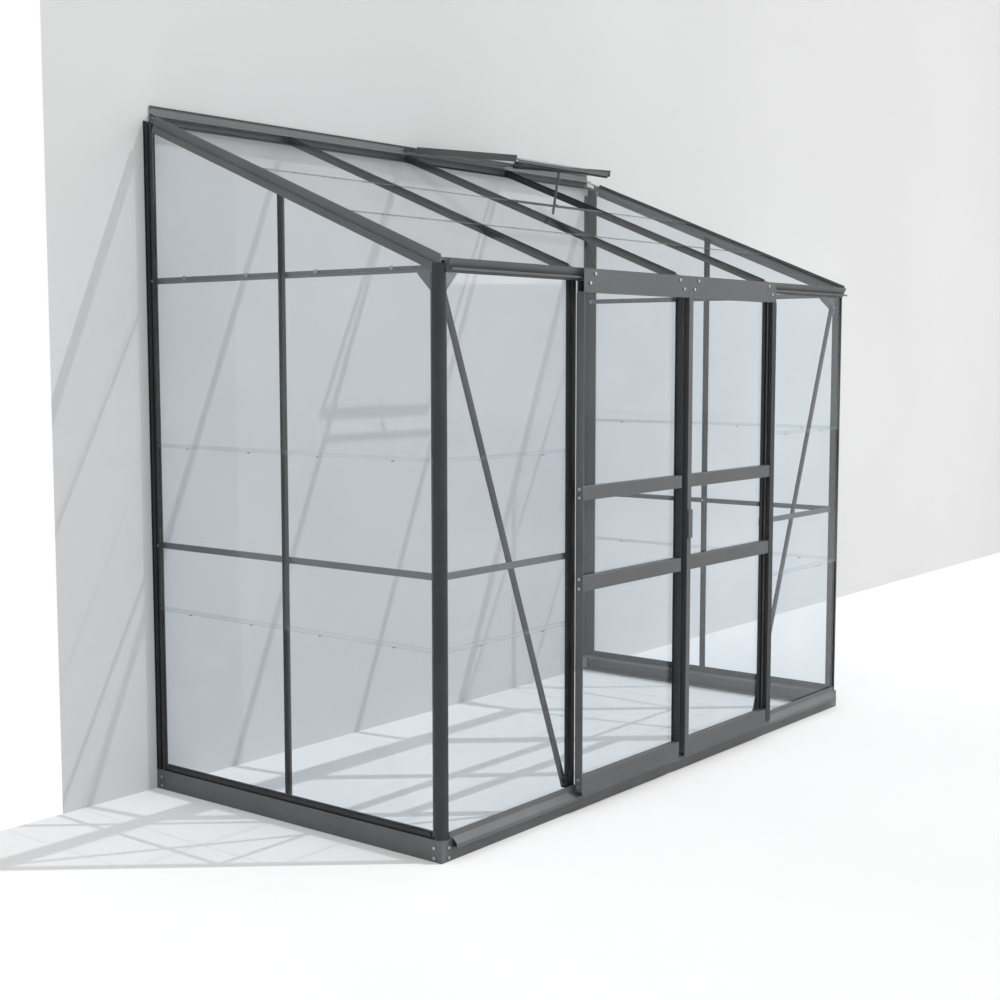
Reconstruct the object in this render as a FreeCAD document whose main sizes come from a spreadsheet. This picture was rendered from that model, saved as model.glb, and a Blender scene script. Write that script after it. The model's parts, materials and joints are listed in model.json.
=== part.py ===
import FreeCAD, Part
import os
import re
import Sketcher

# Lean-to greenhouse: an aluminium frame glazed on two gables, the front and one roof slope,
# with a pair of sliding doors and a hinged roof vent. Millimetres, +X along the length,
# the wall at +Y, the ground at z = 0, the origin under the middle of the whole object.

sizes = {
    "length": 2570,
    "depth": 1285,
    "front_reach": 45,
    "sheet": 2,
    "base_height": 67,
    "base_width": 44,
    "base_sheet": 2.5,
    "base_lip": 10,
    "angle_sheet": 3,
    "angle_leg": 55,
    "glass_sheet": 4,
    "glass_inset": 3,
    "seal_sheet": 2,
    "seal_width": 8,
    "pane_gap": 1,
    "lap": 12,
    "lap_ease": 0.2,
    "bar_width": 28,
    "bar_depth": 20,
    "nose_width": 4,
    "channel_width": 14,
    "channel_sheet": 1.8,
    "slot_width": 7,
    "jamb_width": 52,
    "post_width": 28,
    "post_radius": 24,
    "post_flange": 42,
    "post_lip": 12,
    "post_top": 1740,
    "wall_post_width": 42,
    "wall_post_rib": 10,
    "wall_post_groove": 12,
    "wall_post_back": 10,
    "wall_post_lip": 4,
    "wall_post_foot": 40,
    "wall_seal_width": 3,
    "rail_past_bolt": 10,
    "eave_level": 1715,
    "eave_rail_level": 1726,
    "waist_rail_level": 840,
    "rail_height": 20,
    "rail_depth": 8,
    "lap_low": 627,
    "lap_high": 1180,
    "track_nose": 22,
    "track_nose_bottom": 42,
    "track_nose_top": 54,
    "track_slope_top": 72,
    "track_top": 90,
    "track_face": 3,
    "track_foot": 36,
    "track_inset": 36,
    "track_nose_cut": 8,
    "side_sill_top": 85,
    "side_sill_floor": 74,
    "roof_pitch": 22,
    "roof_level": 1759.3,
    "roof_start": 19.5,
    "roof_bar_depth": 28,
    "lap_before_sill": 7,
    "rafter_width": 26,
    "rafter_height": 48,
    "rafter_bead": 24,
    "rafter_rise": 5,
    "rafter_face": 4,
    "rafter_nose": 6,
    "rafter_skin": 1.4,
    "rafter_step": 2,
    "rafter_recess": 3.5,
    "rafter_lean": 1,
    "rafter_tip": 2,
    "rafter_run_out": 25,
    "gutter_top": 1753,
    "gutter_floor": 1726,
    "gutter_front": 22,
    "gutter_heel": 6,
    "gutter_ease": 0.2,
    "gutter_back": 14,
    "gutter_shelf": 26,
    "rail_lip_reach": 28,
    "rail_lip_drop": 3,
    "rail_lip_ease": 0.5,
    "rail_bead": 4,
    "plate_depth": 5,
    "plate_rise": 24.4,
    "plate_lip": 9,
    "plate_groove": 9,
    "plate_hood": 25,
    "plate_shelf": 25,
    "bar_end_gap": 7.5,
    "bar_bolt": 14,
    "shelf_seal": 22,
    "brace_width": 18,
    "brace_depth": 10,
    "brace_set": 18,
    "brace_drop": 40,
    "brace_foot": 20,
    "gusset_leg": 70,
    "gusset_tip": 4,
    "leaf_gap": 6,
    "leaf_ease": 0.5,
    "door_face": 37,
    "door_back": 10,
    "door_flange": 30,
    "meeting_flange": 25,
    "meeting_set": 34,
    "stile_lip": 8,
    "door_foot": 69,
    "door_skirt": 55,
    "door_floor_rise": 9,
    "door_bottom_rail": 118,
    "door_low_rail": 727,
    "door_low_rail_top": 774,
    "door_high_rail": 1019.5,
    "door_high_rail_top": 1063,
    "fascia_bottom": 1678,
    "fascia_box": 38,
    "fascia_screw": 29,
    "fascia_top": 1752,
    "wheel_radius": 13,
    "wheel_groove": 9.7,
    "wheel_width": 6,
    "wheel_flange": 1.3,
    "wheel_ease": 0.3,
    "wheel_offset": 60,
    "guide_offset": 90,
    "guide_length": 50,
    "guide_front_ease": 1.5,
    "guide_back_ease": 1,
    "guide_glass_ease": 0.8,
    "guide_overlap": 14,
    "guide_roof": 12,
    "handle_level": 841,
    "handle_length": 99,
    "handle_inset": 0.5,
    "handle_bevel": 2,
    "handle_lip": 3,
    "vent_length": 535,
    "vent_inset": 7,
    "vent_rest": 8.1,
    "vent_side_height": 25,
    "vent_side_width": 14,
    "vent_side_lip": 10,
    "vent_rail_height": 11,
    "vent_seal_height": 7,
    "vent_rail_set": 1,
    "vent_rail_depth": 20,
    "hinge_radius": 3,
    "hinge_drop": 15,
    "hinge_reach": 27,
    "hinge_wall": 3,
    "hinge_rail_run": 34,
    "hinge_rail_seat": 24,
    "hinge_rail_half": 7,
    "lug_width": 4,
    "lug_clear": 1,
    "sill_ahead": 11.8,
    "vent_sill_width": 16,
    "vent_sill_height": 6,
    "stay_setback": 7.4,
    "stay_drop": 17.6,
    "stay_length": 170,
    "stay_width": 10,
    "stay_sheet": 3,
    "stay_bow": 1,
    "stay_gap": 1.5,
    "cheek_top": 2,
    "cheek_bottom": 24,
    "cheek_half": 8,
    "peg_radius": 3,
    "peg_length": 14,
    "peg_offset": 14,
    "pin_radius": 2,
    "running_ease": 0.1,
    "stay_lean": 10,
    "shank_radius": 2.5,
    "hole_radius": 2.7,
    "corner_bolt": 28,
    "corner_bolt_front": 30,
    "corner_bolt_low": 13,
    "corner_bolt_high": 43,
    "rail_bolt": 35,
    "gusset_bolt_low": 56,
    "gusset_bolt_high": 12,
    "stile_bolt": 33,
    "stile_screw": 8,
    "clip_length": 10,
    "clip_width": 3,
    "clip_reach": 4,
    "head_radius": 5.2,
    "head_height": 3.5,
    "nut_radius": 4.6,
    "nut_height": 4,
}

os.makedirs("parts", exist_ok=True)
doc = FreeCAD.newDocument("LeanToGreenhouse")
sheet = doc.addObject("Spreadsheet::Sheet", "Sizes")
for row, (name, value) in enumerate(sizes.items(), 1):
    sheet.set(f"A{row}", name)
    sheet.set(f"B{row}", str(value))
    sheet.setAlias(f"B{row}", name)
doc.recompute()

# Every expression below is written with the names of the sheet. Positions are measured from
# the outer left end, from the front face of the base and from the ground.
left_end = "(-length / 2)"
base_face = "((front_reach - depth) / 2)"
bay = "((length - rafter_width) / 4)"
bar_line = [f"(rafter_width / 2 + {n} * {bay})" for n in range(5)]
side_bar_line = bar_line[1]
flange = "(glass_inset + glass_sheet + seal_sheet)"
flange_in = f"({flange} + sheet)"
half_nose = "(nose_width / 2)"
run_cos = "cos(roof_pitch)"
run_sin = "sin(roof_pitch)"
roof_run = f"((depth - plate_depth - bar_end_gap - roof_bar_depth * {run_sin}) / {run_cos})"
wall_post_line = "(depth - wall_post_width)"
plate_y = "(depth - plate_depth)"
hinge_y = f"({plate_y} - hinge_reach)"


# The level of a slope that lies square above or below the tops of the roof bars.
def over(y, rise):
    return f"(roof_level + ({y}) * tan(roof_pitch) + ({rise}) / {run_cos})"


plate_top = f"({over(plate_y, 'sheet')} + plate_rise)"
hinge_level = f"({plate_top} - hinge_drop)"
hinge_run = f"({hinge_y} * {run_cos} + ({hinge_level} - roof_level) * {run_sin})"
stay_radius = "(vent_length - vent_rail_depth - stay_setback)"
sill_run = f"({hinge_run} - vent_length - sill_ahead)"
roof_lap_high = f"({sill_run} - lap_before_sill)"
roof_lap_low = f"({roof_lap_high} / 2)"
word = re.compile(r"[A-Za-z_][A-Za-z_0-9]*")
nodes = {}
drills = {}


def tied(text):
    return word.sub(lambda m: "Sizes." + m.group() if m.group() in sizes else m.group(), str(text))


def number(text):
    return float(sheet.evalExpression(tied(text)))


# Sets an item down at distances from the left end, the base face and the ground.
def place(item, x, y, z, axis=None, angle=None):
    if axis:
        item.Placement.Rotation = FreeCAD.Rotation(FreeCAD.Vector(*axis), number(angle))
        item.setExpression("Placement.Rotation.Angle", tied(angle))
    item.setExpression("Placement.Base.x", tied(f"{left_end} + {x}"))
    item.setExpression("Placement.Base.y", tied(f"{base_face} + {y}"))
    item.setExpression("Placement.Base.z", tied(z))
    return item


# Sets an item down on the roof: the run is measured up the slope, the rise square to it.
def place_on_roof(item, x, run, rise, turn="0"):
    y = f"(({run}) * {run_cos} - ({rise}) * {run_sin})"
    z = f"(roof_level + ({run}) * {run_sin} + ({rise}) * {run_cos})"
    return place(item, x, y, z, (1, 0, 0), f"roof_pitch + ({turn})")


def origin_part(body, role):
    return next(f for f in body.Origin.OriginFeatures if f.Role == role)


# A sketch of closed loops whose every corner is held by two dimensions from the sheet.
def outline(body, role, loops):
    sketch = body.newObject("Sketcher::SketchObject", "Outline")
    sketch.AttachmentSupport = [(origin_part(body, role), "")]
    sketch.MapMode = "FlatFace"
    lines = []
    rules = []
    ties = []
    for loop in loops:
        first = len(lines)
        count = len(loop)
        corners = [FreeCAD.Vector(number(a), number(b), 0) for a, b in loop]
        for n in range(count):
            lines.append(Part.LineSegment(corners[n], corners[(n + 1) % count]))
        for n in range(count):
            after = first + (n + 1) % count
            rules.append(Sketcher.Constraint("Coincident", first + n, 2, after, 1))
        for n, (a, b) in enumerate(loop):
            ties.append((len(rules), a))
            rules.append(Sketcher.Constraint("DistanceX", -1, 1, first + n, 1, corners[n].x))
            ties.append((len(rules), b))
            rules.append(Sketcher.Constraint("DistanceY", -1, 1, first + n, 1, corners[n].y))
    sketch.addGeometry(lines, False)
    sketch.addConstraint(rules)
    for index, text in ties:
        sketch.setExpression(f"Constraints[{index}]", tied(text))
    return sketch


# A bar pressed from one section. Sections for "x" bars are drawn in (y, z), for "y" bars
# in (x, z) and for "z" bars in (x, y), and each bar grows in the positive direction.
def profile(label, along, loops, length):
    role = {"x": "YZ_Plane", "y": "XZ_Plane", "z": "XY_Plane"}[along]
    body = doc.addObject("PartDesign::Body", label)
    pad = body.newObject("PartDesign::Pad", "Length")
    pad.Profile = outline(body, role, loops)
    pad.setExpression("Length", tied(length))
    pad.Reversed = along == "y"
    body.Tip = pad
    return body


# Takes the drawn region right out of a body, both ways from the plane of the drawing.
def notch(body, along, loop):
    role = {"x": "YZ_Plane", "y": "XZ_Plane", "z": "XY_Plane"}[along]
    pocket = body.newObject("PartDesign::Pocket", "Notch")
    pocket.Profile = outline(body, role, [loop])
    pocket.Type = 1
    pocket.Midplane = True
    body.Tip = pocket
    return body


# Rounds the long edges of a "z" bar that stand at the given corners of its section.
def round_edges(body, radius, corners):
    doc.recompute()
    spots = [(number(a), number(b)) for a, b in corners]
    picked = []
    solid = body.Tip
    for index, edge in enumerate(solid.Shape.Edges, 1):
        ends = [v.Point for v in edge.Vertexes]
        if len(ends) != 2 or abs(ends[0].z - ends[1].z) < 1:
            continue
        for a, b in spots:
            if abs(ends[0].x - a) < 0.01 and abs(ends[0].y - b) < 0.01:
                picked.append(f"Edge{index}")
    fillet = body.newObject("PartDesign::Fillet", "Rounding")
    fillet.Base = (solid, picked)
    fillet.setExpression("Radius", tied(radius))
    body.Tip = fillet
    return body


def slab(label, x, y, z):
    box = doc.addObject("Part::Box", label)
    box.setExpression("Length", tied(x))
    box.setExpression("Width", tied(y))
    box.setExpression("Height", tied(z))
    return box


def rod(label, radius, length):
    item = doc.addObject("Part::Cylinder", label)
    item.setExpression("Radius", tied(radius))
    item.setExpression("Height", tied(length))
    return item


def group(label, items):
    if len(items) == 1:
        nodes[label] = items[0]
        return items[0]
    item = doc.addObject("Part::Compound", label)
    item.Links = items
    nodes[label] = item
    return item


# Directions in which fixings point, as the turn that takes +Z there.
turns = {
    "+x": ((0, 1, 0), 90),
    "-x": ((0, -1, 0), 90),
    "+y": ((-1, 0, 0), 90),
    "-y": ((1, 0, 0), 90),
    "+z": ((0, 0, 1), 0),
    "-z": ((1, 0, 0), 180),
}
made = {}


# A bolt with its head below the origin and its nut beyond the grip; a collar can keep two
# plates apart. Bolts of one kind are made once and set down many times.
def bolt_kind(grip, nut, collar):
    key = (grip, nut, collar)
    if key in made:
        return made[key]
    head = rod("Head", "head_radius", "head_height")
    head.setExpression("Placement.Base.z", tied("-head_height"))
    shank = rod("Shank", "shank_radius", f"{grip} + nut_height + 1")
    pieces = [head, shank]
    if nut:
        hexagon = doc.addObject("Part::Prism", "Nut")
        hexagon.Polygon = 6
        hexagon.setExpression("Circumradius", tied("nut_radius"))
        hexagon.setExpression("Height", tied("nut_height"))
        hexagon.setExpression("Placement.Base.z", tied(grip))
        pieces.append(hexagon)
    if collar:
        ring = rod("Collar", "nut_radius", collar[1])
        ring.setExpression("Placement.Base.z", tied(collar[0]))
        pieces.append(ring)
    whole = doc.addObject("Part::MultiFuse", "Bolt")
    whole.Shapes = pieces
    made[key] = whole
    return whole


def copy_of(item, label):
    link = doc.addObject("App::Link", label)
    link.LinkedObject = item
    return link


# Points a fixing or a drill along one of the six directions.
def aim(item, x, y, z, way):
    axis, angle = turns[way]
    item.Placement.Rotation = FreeCAD.Rotation(FreeCAD.Vector(*axis), angle)
    return place(item, x, y, z)


# Sets a bolt and drills the pieces it passes through.
def bolt(x, y, z, way, grip, through=(), nut=True, collar=None):
    item = aim(copy_of(bolt_kind(grip, nut, collar), "Fixing"), x, y, z, way)
    for label in through:
        drill(label, x, y, z, way, grip)
    return item


def drill(label, x, y, z, way, grip):
    key = ("drill", grip)
    if key not in made:
        bit = rod("Drill", "hole_radius", f"{grip} + 2")
        bit.setExpression("Placement.Base.z", "-1")
        made[key] = bit
    drills.setdefault(label, []).append(aim(copy_of(made[key], "Hole"), x, y, z, way))


def keep(label, item):
    nodes[label] = item
    return item


def mirror_x(x, side):
    return x if side == "left" else f"(length - ({x}))"


def mirror_box(x, width, side):
    return x if side == "left" else f"(length - ({x}) - ({width}))"


# A section drawn as (across, inward) turned to face the front, the left or the right side.
def facing(points, side):
    if side == "front":
        return points
    if side == "left":
        return [(b, a) for a, b in points]
    return [(f"-({b})", a) for a, b in points]


def flip(points):
    return [(f"-({a})", b) for a, b in points]


# The base.

inside = "(base_height - base_sheet)"
base_section = [
    ("0", "0"),
    ("base_width", "0"),
    ("base_width", "base_lip"),
    ("base_width - base_sheet", "base_lip"),
    ("base_width - base_sheet", "base_sheet"),
    ("base_sheet", "base_sheet"),
    ("base_sheet", inside),
    ("base_width - base_sheet", inside),
    ("base_width - base_sheet", "base_height - base_lip"),
    ("base_width", "base_height - base_lip"),
    ("base_width", "base_height"),
    ("0", "base_height"),
]
front_base = profile("Front base", "x", [base_section], "length")
place(front_base, "0", "0", "0")
notch(front_base, "z", [
    ("-1", "-1"),
    ("0", "0"),
    ("base_width + 1", "base_width + 1"),
    ("-1", "base_width + 1"),
])
notch(front_base, "z", [
    ("length + 1", "-1"),
    ("length", "0"),
    ("length - base_width - 1", "base_width + 1"),
    ("length + 1", "base_width + 1"),
])
keep("base_front_rail", front_base)
for side, sign in (("left", 1), ("right", -1)):
    section = base_section if sign > 0 else flip(base_section)
    rail = profile(f"Base {side}", "y", [section], "depth")
    place(rail, mirror_x("0", side), "0", "0")
    corner = [("0", "0"), ("base_width + 1", "base_width + 1"), ("base_width + 1", "-1"), ("-1", "-1")]
    notch(rail, "z", corner if sign > 0 else flip(corner))
    keep(f"base_side_rail_{side}", rail)

angles = []
for side, sign in (("left", 1), ("right", -1)):
    section = [
        ("base_sheet", "base_sheet"),
        ("base_sheet + angle_leg", "base_sheet"),
        ("base_sheet + angle_leg", "base_sheet + angle_sheet"),
        ("base_sheet + angle_sheet", "base_sheet + angle_sheet"),
        ("base_sheet + angle_sheet", "base_sheet + angle_leg"),
        ("base_sheet", "base_sheet + angle_leg"),
    ]
    section = section if sign > 0 else flip(section)
    angle = profile(f"Angle {side}", "z", [section], f"{inside} - base_sheet")
    place(angle, mirror_x("0", side), "0", "base_sheet")
    label = f"Angle {side}"
    angles.append(label)
    nodes[label] = angle

base_bolts = []
corner_grip = "base_sheet + angle_sheet"
for side, way in (("left", "+x"), ("right", "-x")):
    for z in ("corner_bolt_low", "corner_bolt_high"):
        through = (f"base_side_rail_{side}", f"Angle {side}")
        base_bolts.append(bolt(mirror_x("0", side), "corner_bolt", z, way, corner_grip, through))
        through = (f"base_side_rail_{side}",)
        base_bolts.append(bolt(mirror_x("0", side), "depth - corner_bolt", z, way, "base_sheet", through))
        through = ("base_front_rail", f"Angle {side}")
        x = mirror_x("corner_bolt_front", side)
        base_bolts.append(bolt(x, "0", z, "+y", corner_grip, through))
group("base_bolts", base_bolts)

# The sills.

# The front sill carries the lower door track: a hollow nose, an upstand and a flat foot.
nose_slope = "((track_slope_top - track_nose_top) / (track_nose - track_face))"
wall_drop = f"(sheet * sqrt(1 + pow({nose_slope}; 2)))"
track_section = [
    ("-track_nose", "track_nose_bottom"),
    ("-track_nose", "track_nose_top"),
    ("-track_face", "track_slope_top"),
    ("-track_face", "track_top"),
    ("-track_face + sheet", "track_top"),
    ("-track_face + sheet", "base_height + sheet"),
    ("track_foot", "base_height + sheet"),
    ("track_foot", "base_height"),
    ("0", "base_height"),
    ("0", "track_nose_bottom"),
]
inner_level = f"(track_nose_top + sheet * {nose_slope} - {wall_drop})"
ridge_y = f"(-track_nose + (base_height + 1 + {wall_drop} - track_nose_top) / {nose_slope})"
track_hollow = [
    ("-track_nose + sheet", "track_nose_bottom + sheet"),
    ("-track_nose + sheet", inner_level),
    (ridge_y, "base_height + 1"),
    ("-sheet", "base_height + 1"),
    ("-sheet", "track_nose_bottom + sheet"),
]
track_length = "(length - 2 * track_inset)"
track = profile("Track", "x", [track_section, track_hollow], track_length)
place(track, "track_inset", "0", "0")
past = "-track_nose - 1"
for start, stop in (
    ("-1", "track_nose_cut"),
    (f"({track_length} - track_nose_cut)", f"({track_length} + 1)"),
):
    notch(track, "z", [(start, past), (stop, past), (stop, "-track_face"), (start, "-track_face")])
keep("front_track_sill", track)

# The side sills are small channels that hold the lowest panes.
sills = []
sill_section = [
    ("0", "side_sill_floor"),
    (flange, "side_sill_floor"),
    (flange, "base_height"),
    ("track_foot", "base_height"),
    ("track_foot", "base_height + sheet"),
    (flange_in, "base_height + sheet"),
    (flange_in, "track_top"),
    (flange, "track_top"),
    (flange, "side_sill_floor + sheet"),
    ("sheet", "side_sill_floor + sheet"),
    ("sheet", "side_sill_top"),
    ("0", "side_sill_top"),
]
for side, sign in (("left", 1), ("right", -1)):
    section = sill_section if sign > 0 else flip(sill_section)
    reach = f"{wall_post_line} - wall_post_lip - sheet - post_flange"
    sill = profile(f"Side sill {side}", "y", [section], reach)
    place(sill, mirror_x("0", side), "post_flange", "0")
    sills.append(sill)
group("side_sills", sills)

# Posts and glazing bars.

# The corner post: a rounded skin between two seats for glass, each with a bolting lip.
post_section = [
    ("0", "0"),
    ("post_width", "0"),
    ("post_width", flange),
    ("post_flange", flange),
    ("post_flange", "bar_depth"),
    ("post_flange - post_lip", "bar_depth"),
    ("post_flange - post_lip", "bar_depth - sheet"),
    ("post_flange - sheet", "bar_depth - sheet"),
    ("post_flange - sheet", flange_in),
    ("post_width - sheet", flange_in),
    ("post_width - sheet", "sheet"),
    ("sheet", "sheet"),
    ("sheet", "post_width - sheet"),
    (flange_in, "post_width - sheet"),
    (flange_in, "post_flange - sheet"),
    ("bar_depth - sheet", "post_flange - sheet"),
    ("bar_depth - sheet", "post_flange - post_lip"),
    ("bar_depth", "post_flange - post_lip"),
    ("bar_depth", "post_flange"),
    (flange, "post_flange"),
    (flange, "post_width"),
    ("0", "post_width"),
]
post_bottom = "(base_height + sheet)"
for side, sign in (("left", 1), ("right", -1)):
    turn = (lambda points: points) if sign > 0 else flip
    post = profile(f"Post {side}", "z", [turn(post_section)], f"post_top - {post_bottom}")
    place(post, mirror_x("0", side), "0", post_bottom)
    round_edges(post, "post_radius", turn([("0", "0")]))
    round_edges(post, "post_radius - sheet", turn([("sheet", "sheet")]))
    low = f"eave_level - {post_bottom}"
    high = f"post_top - {post_bottom} + 1"
    past = "post_flange + 1"
    notch(post, "y", turn([("rafter_width", low), (past, low), (past, high), ("rafter_width", high)]))
    notch(post, "x", [("post_width", low), (past, low), (past, high), ("post_width", high)])
    keep(f"corner_post_{side}", post)


# A glazing bar: a thin nose between the panes, a flange behind them and a bolting channel.
def bar_section(width, depth, tip="glass_inset"):
    half = f"({width} / 2)"
    wall = "(channel_width / 2)"
    bore = "(channel_width / 2 - channel_sheet)"
    slot = "(slot_width / 2)"
    right = [
        (half_nose, tip),
        (half_nose, flange),
        (half, flange),
        (half, flange_in),
        (wall, flange_in),
        (wall, depth),
        (slot, depth),
        (slot, f"{depth} - channel_sheet"),
        (bore, f"{depth} - channel_sheet"),
        (bore, flange_in),
    ]
    return right + [(f"-{a}", b) for a, b in reversed(right)]


side_bars = []
roof_over = f"(roof_level + ({side_bar_line}) * tan(roof_pitch) - roof_bar_depth / {run_cos})"
for side in ("left", "right"):
    section = facing(bar_section("bar_width", "bar_depth"), side)
    reach = f"{roof_over} + bar_width - track_top"
    bar = profile(f"Side bar {side}", "z", [section], reach)
    place(bar, mirror_x("0", side), side_bar_line, "track_top")
    low = f"({roof_over} - bar_width * tan(roof_pitch) - track_top)"
    high = f"({roof_over} + bar_width * tan(roof_pitch) - track_top)"
    top = f"({roof_over} + 3 * bar_width - track_top)"
    notch(bar, "x", [("-bar_width", low), ("bar_width", high), ("bar_width", top), ("-bar_width", top)])
    side_bars.append(bar)
group("side_bars", side_bars)

for side, line in (("left", bar_line[1]), ("right", bar_line[3])):
    section = bar_section("jamb_width", "bar_depth")
    jamb = profile(f"Jamb {side}", "z", [section], f"eave_level - {post_bottom}")
    place(jamb, line, "0", post_bottom)
    keep(f"door_jamb_{side}", jamb)

# The wall post: two ribs over a grooved back, a seat for the glass and a foot along the wall.
# Its top runs up beside the wall end of the rafter.
groove_floor = "(wall_post_back - sheet)"
second_rib = "(wall_post_rib + wall_post_groove)"
wall_post_section = [
    ("0", "0"),
    ("wall_post_rib", "0"),
    ("wall_post_rib", groove_floor),
    (second_rib, groove_floor),
    (second_rib, "sheet"),
    (f"{second_rib} + 2 * sheet", "sheet"),
    (f"{second_rib} + 2 * sheet", "0"),
    (f"{second_rib} + wall_post_rib", "0"),
    (f"{second_rib} + wall_post_rib", groove_floor),
    ("wall_post_width - sheet", groove_floor),
    ("wall_post_width - sheet", "0"),
    ("wall_post_width", "0"),
    ("wall_post_width", "wall_post_foot"),
    ("wall_post_width - sheet", "wall_post_foot"),
    ("wall_post_width - sheet", "wall_post_back"),
    ("sheet", "wall_post_back"),
    ("sheet", flange_in),
    ("-wall_post_lip", flange_in),
    ("-wall_post_lip", flange),
    ("0", flange),
]
for side in ("left", "right"):
    line = wall_post_line
    rafter_low = f"(roof_level + ({line}) * tan(roof_pitch) - rafter_height / {run_cos})"
    reach = f"{rafter_low} + wall_post_width - base_height"
    post = profile(f"Wall post {side}", "z", [facing(wall_post_section, side)], reach)
    place(post, mirror_x("0", side), line, "base_height")
    under = f"({rafter_low} - base_height)"
    top = f"({under} + 3 * wall_post_width)"
    out = "-wall_post_lip - 1"
    notch(post, "x", [(out, f"{under} + ({out}) * tan(roof_pitch)"), ("0", under), ("0", top), (out, top)])
    past = "wall_post_width + 1"
    shoulder = f"({over(line, '-rafter_bead')} - base_height)"
    past_shoulder = f"({over('depth + 1', '-rafter_bead')} - base_height)"
    notch(post, "x", [("0", shoulder), (past, past_shoulder), (past, top), ("0", top)])
    foot_cut = [
        (flange_in, under),
        ("wall_post_foot + 1", under),
        ("wall_post_foot + 1", top),
        (flange_in, top),
    ]
    notch(post, "y", foot_cut if side == "left" else flip(foot_cut))
    keep(f"wall_post_{side}", post)

# Rails, corner plates and braces.

# Shallow channels bolted across the inner faces of posts and bars.
rail_section = [
    ("bar_depth", "-rail_height / 2"),
    ("bar_depth + rail_depth", "-rail_height / 2"),
    ("bar_depth + rail_depth", "-rail_height / 2 + sheet"),
    ("bar_depth + sheet", "-rail_height / 2 + sheet"),
    ("bar_depth + sheet", "rail_height / 2 - sheet"),
    ("bar_depth + rail_depth", "rail_height / 2 - sheet"),
    ("bar_depth + rail_depth", "rail_height / 2"),
    ("bar_depth", "rail_height / 2"),
]
rail_start = "(post_flange - post_lip)"
rail_grip = "2 * sheet"
wall_bolt = f"({wall_post_line} + wall_post_rib + wall_post_groove / 2)"
wall_gap = "(bar_depth - wall_post_back)"
slot_grip = "channel_sheet + sheet"
rail_bolts = []
for side, sign in (("left", 1), ("right", -1)):
    section = rail_section if sign > 0 else flip(rail_section)
    inward = "+x" if sign > 0 else "-x"
    outward = "-x" if sign > 0 else "+x"
    for kind, level in (("eave", "eave_rail_level"), ("waist", "waist_rail_level")):
        label = f"side_{kind}_rail_{side}"
        rail = profile(label, "y", [section], f"{wall_bolt} + rail_past_bolt - {rail_start}")
        place(rail, mirror_x("0", side), rail_start, level)
        keep(label, rail)
        back = mirror_x("bar_depth - channel_sheet", side)
        rail_bolts.append(bolt(back, side_bar_line, level, inward, slot_grip, (label,)))
        if kind == "waist":
            inner = mirror_x("bar_depth + sheet", side)
            through = (label, f"corner_post_{side}")
            rail_bolts.append(bolt(inner, "rail_bolt", level, outward, rail_grip, through))
        through = (label, f"wall_post_{side}")
        inner_face = mirror_x("bar_depth + sheet", side)
        grip = f"2 * sheet + {wall_gap}"
        spacer = ("sheet", wall_gap)
        rail_bolts.append(bolt(inner_face, wall_bolt, level, outward, grip, through, True, spacer))

front_section = rail_section
front_rail_length = f"{bar_line[1]} + channel_width / 2 - {rail_start}"
for side in ("left", "right"):
    label = f"front_waist_rail_{side}"
    rail = profile(label, "x", [front_section], front_rail_length)
    place(rail, mirror_box(rail_start, front_rail_length, side), "0", "waist_rail_level")
    keep(label, rail)
    through = (label, f"corner_post_{side}")
    x = mirror_x("rail_bolt", side)
    rail_bolts.append(bolt(x, "bar_depth + sheet", "waist_rail_level", "-y", rail_grip, through))
    back = "bar_depth - channel_sheet"
    x = mirror_x(bar_line[1], side)
    rail_bolts.append(bolt(x, back, "waist_rail_level", "+y", slot_grip, (label,)))

# Corner plates where the posts meet the eave, and the long braces behind the front panes.
# A brace is a narrow channel whose lips point inwards.
gussets = []
gusset_top = "(eave_rail_level - rail_height / 2)"
plate = [
    ("0", "0"),
    ("0", "-gusset_leg"),
    ("gusset_tip", "-gusset_leg"),
    ("gusset_leg", "-gusset_tip"),
    ("gusset_leg", "0"),
]
gusset_bolts = []
for side, sign in (("left", 1), ("right", -1)):
    inner = profile(f"Side gusset {side}", "x", [plate], "sheet")
    place(inner, mirror_box("bar_depth", "sheet", side), rail_start, gusset_top)
    front = profile(f"Front gusset {side}", "y", [plate if sign > 0 else flip(plate)], "sheet")
    place(front, mirror_x(rail_start, side), "bar_depth", "eave_level")
    nodes[f"Side gusset {side}"] = inner
    nodes[f"Front gusset {side}"] = front
    gussets += [f"Side gusset {side}", f"Front gusset {side}"]
    outward = "-x" if sign > 0 else "+x"
    for drop in ("gusset_bolt_high", "gusset_bolt_low"):
        through = (f"Side gusset {side}", f"corner_post_{side}")
        x = mirror_x("bar_depth + sheet", side)
        gusset_bolts.append(bolt(x, "rail_bolt", f"{gusset_top} - {drop}", outward, rail_grip, through))
    through = (f"Front gusset {side}", f"corner_post_{side}")
    x = mirror_x("rail_bolt", side)
    z = "eave_level - gusset_bolt_high"
    gusset_bolts.append(bolt(x, "bar_depth + sheet", z, "-y", rail_grip, through))

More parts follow.
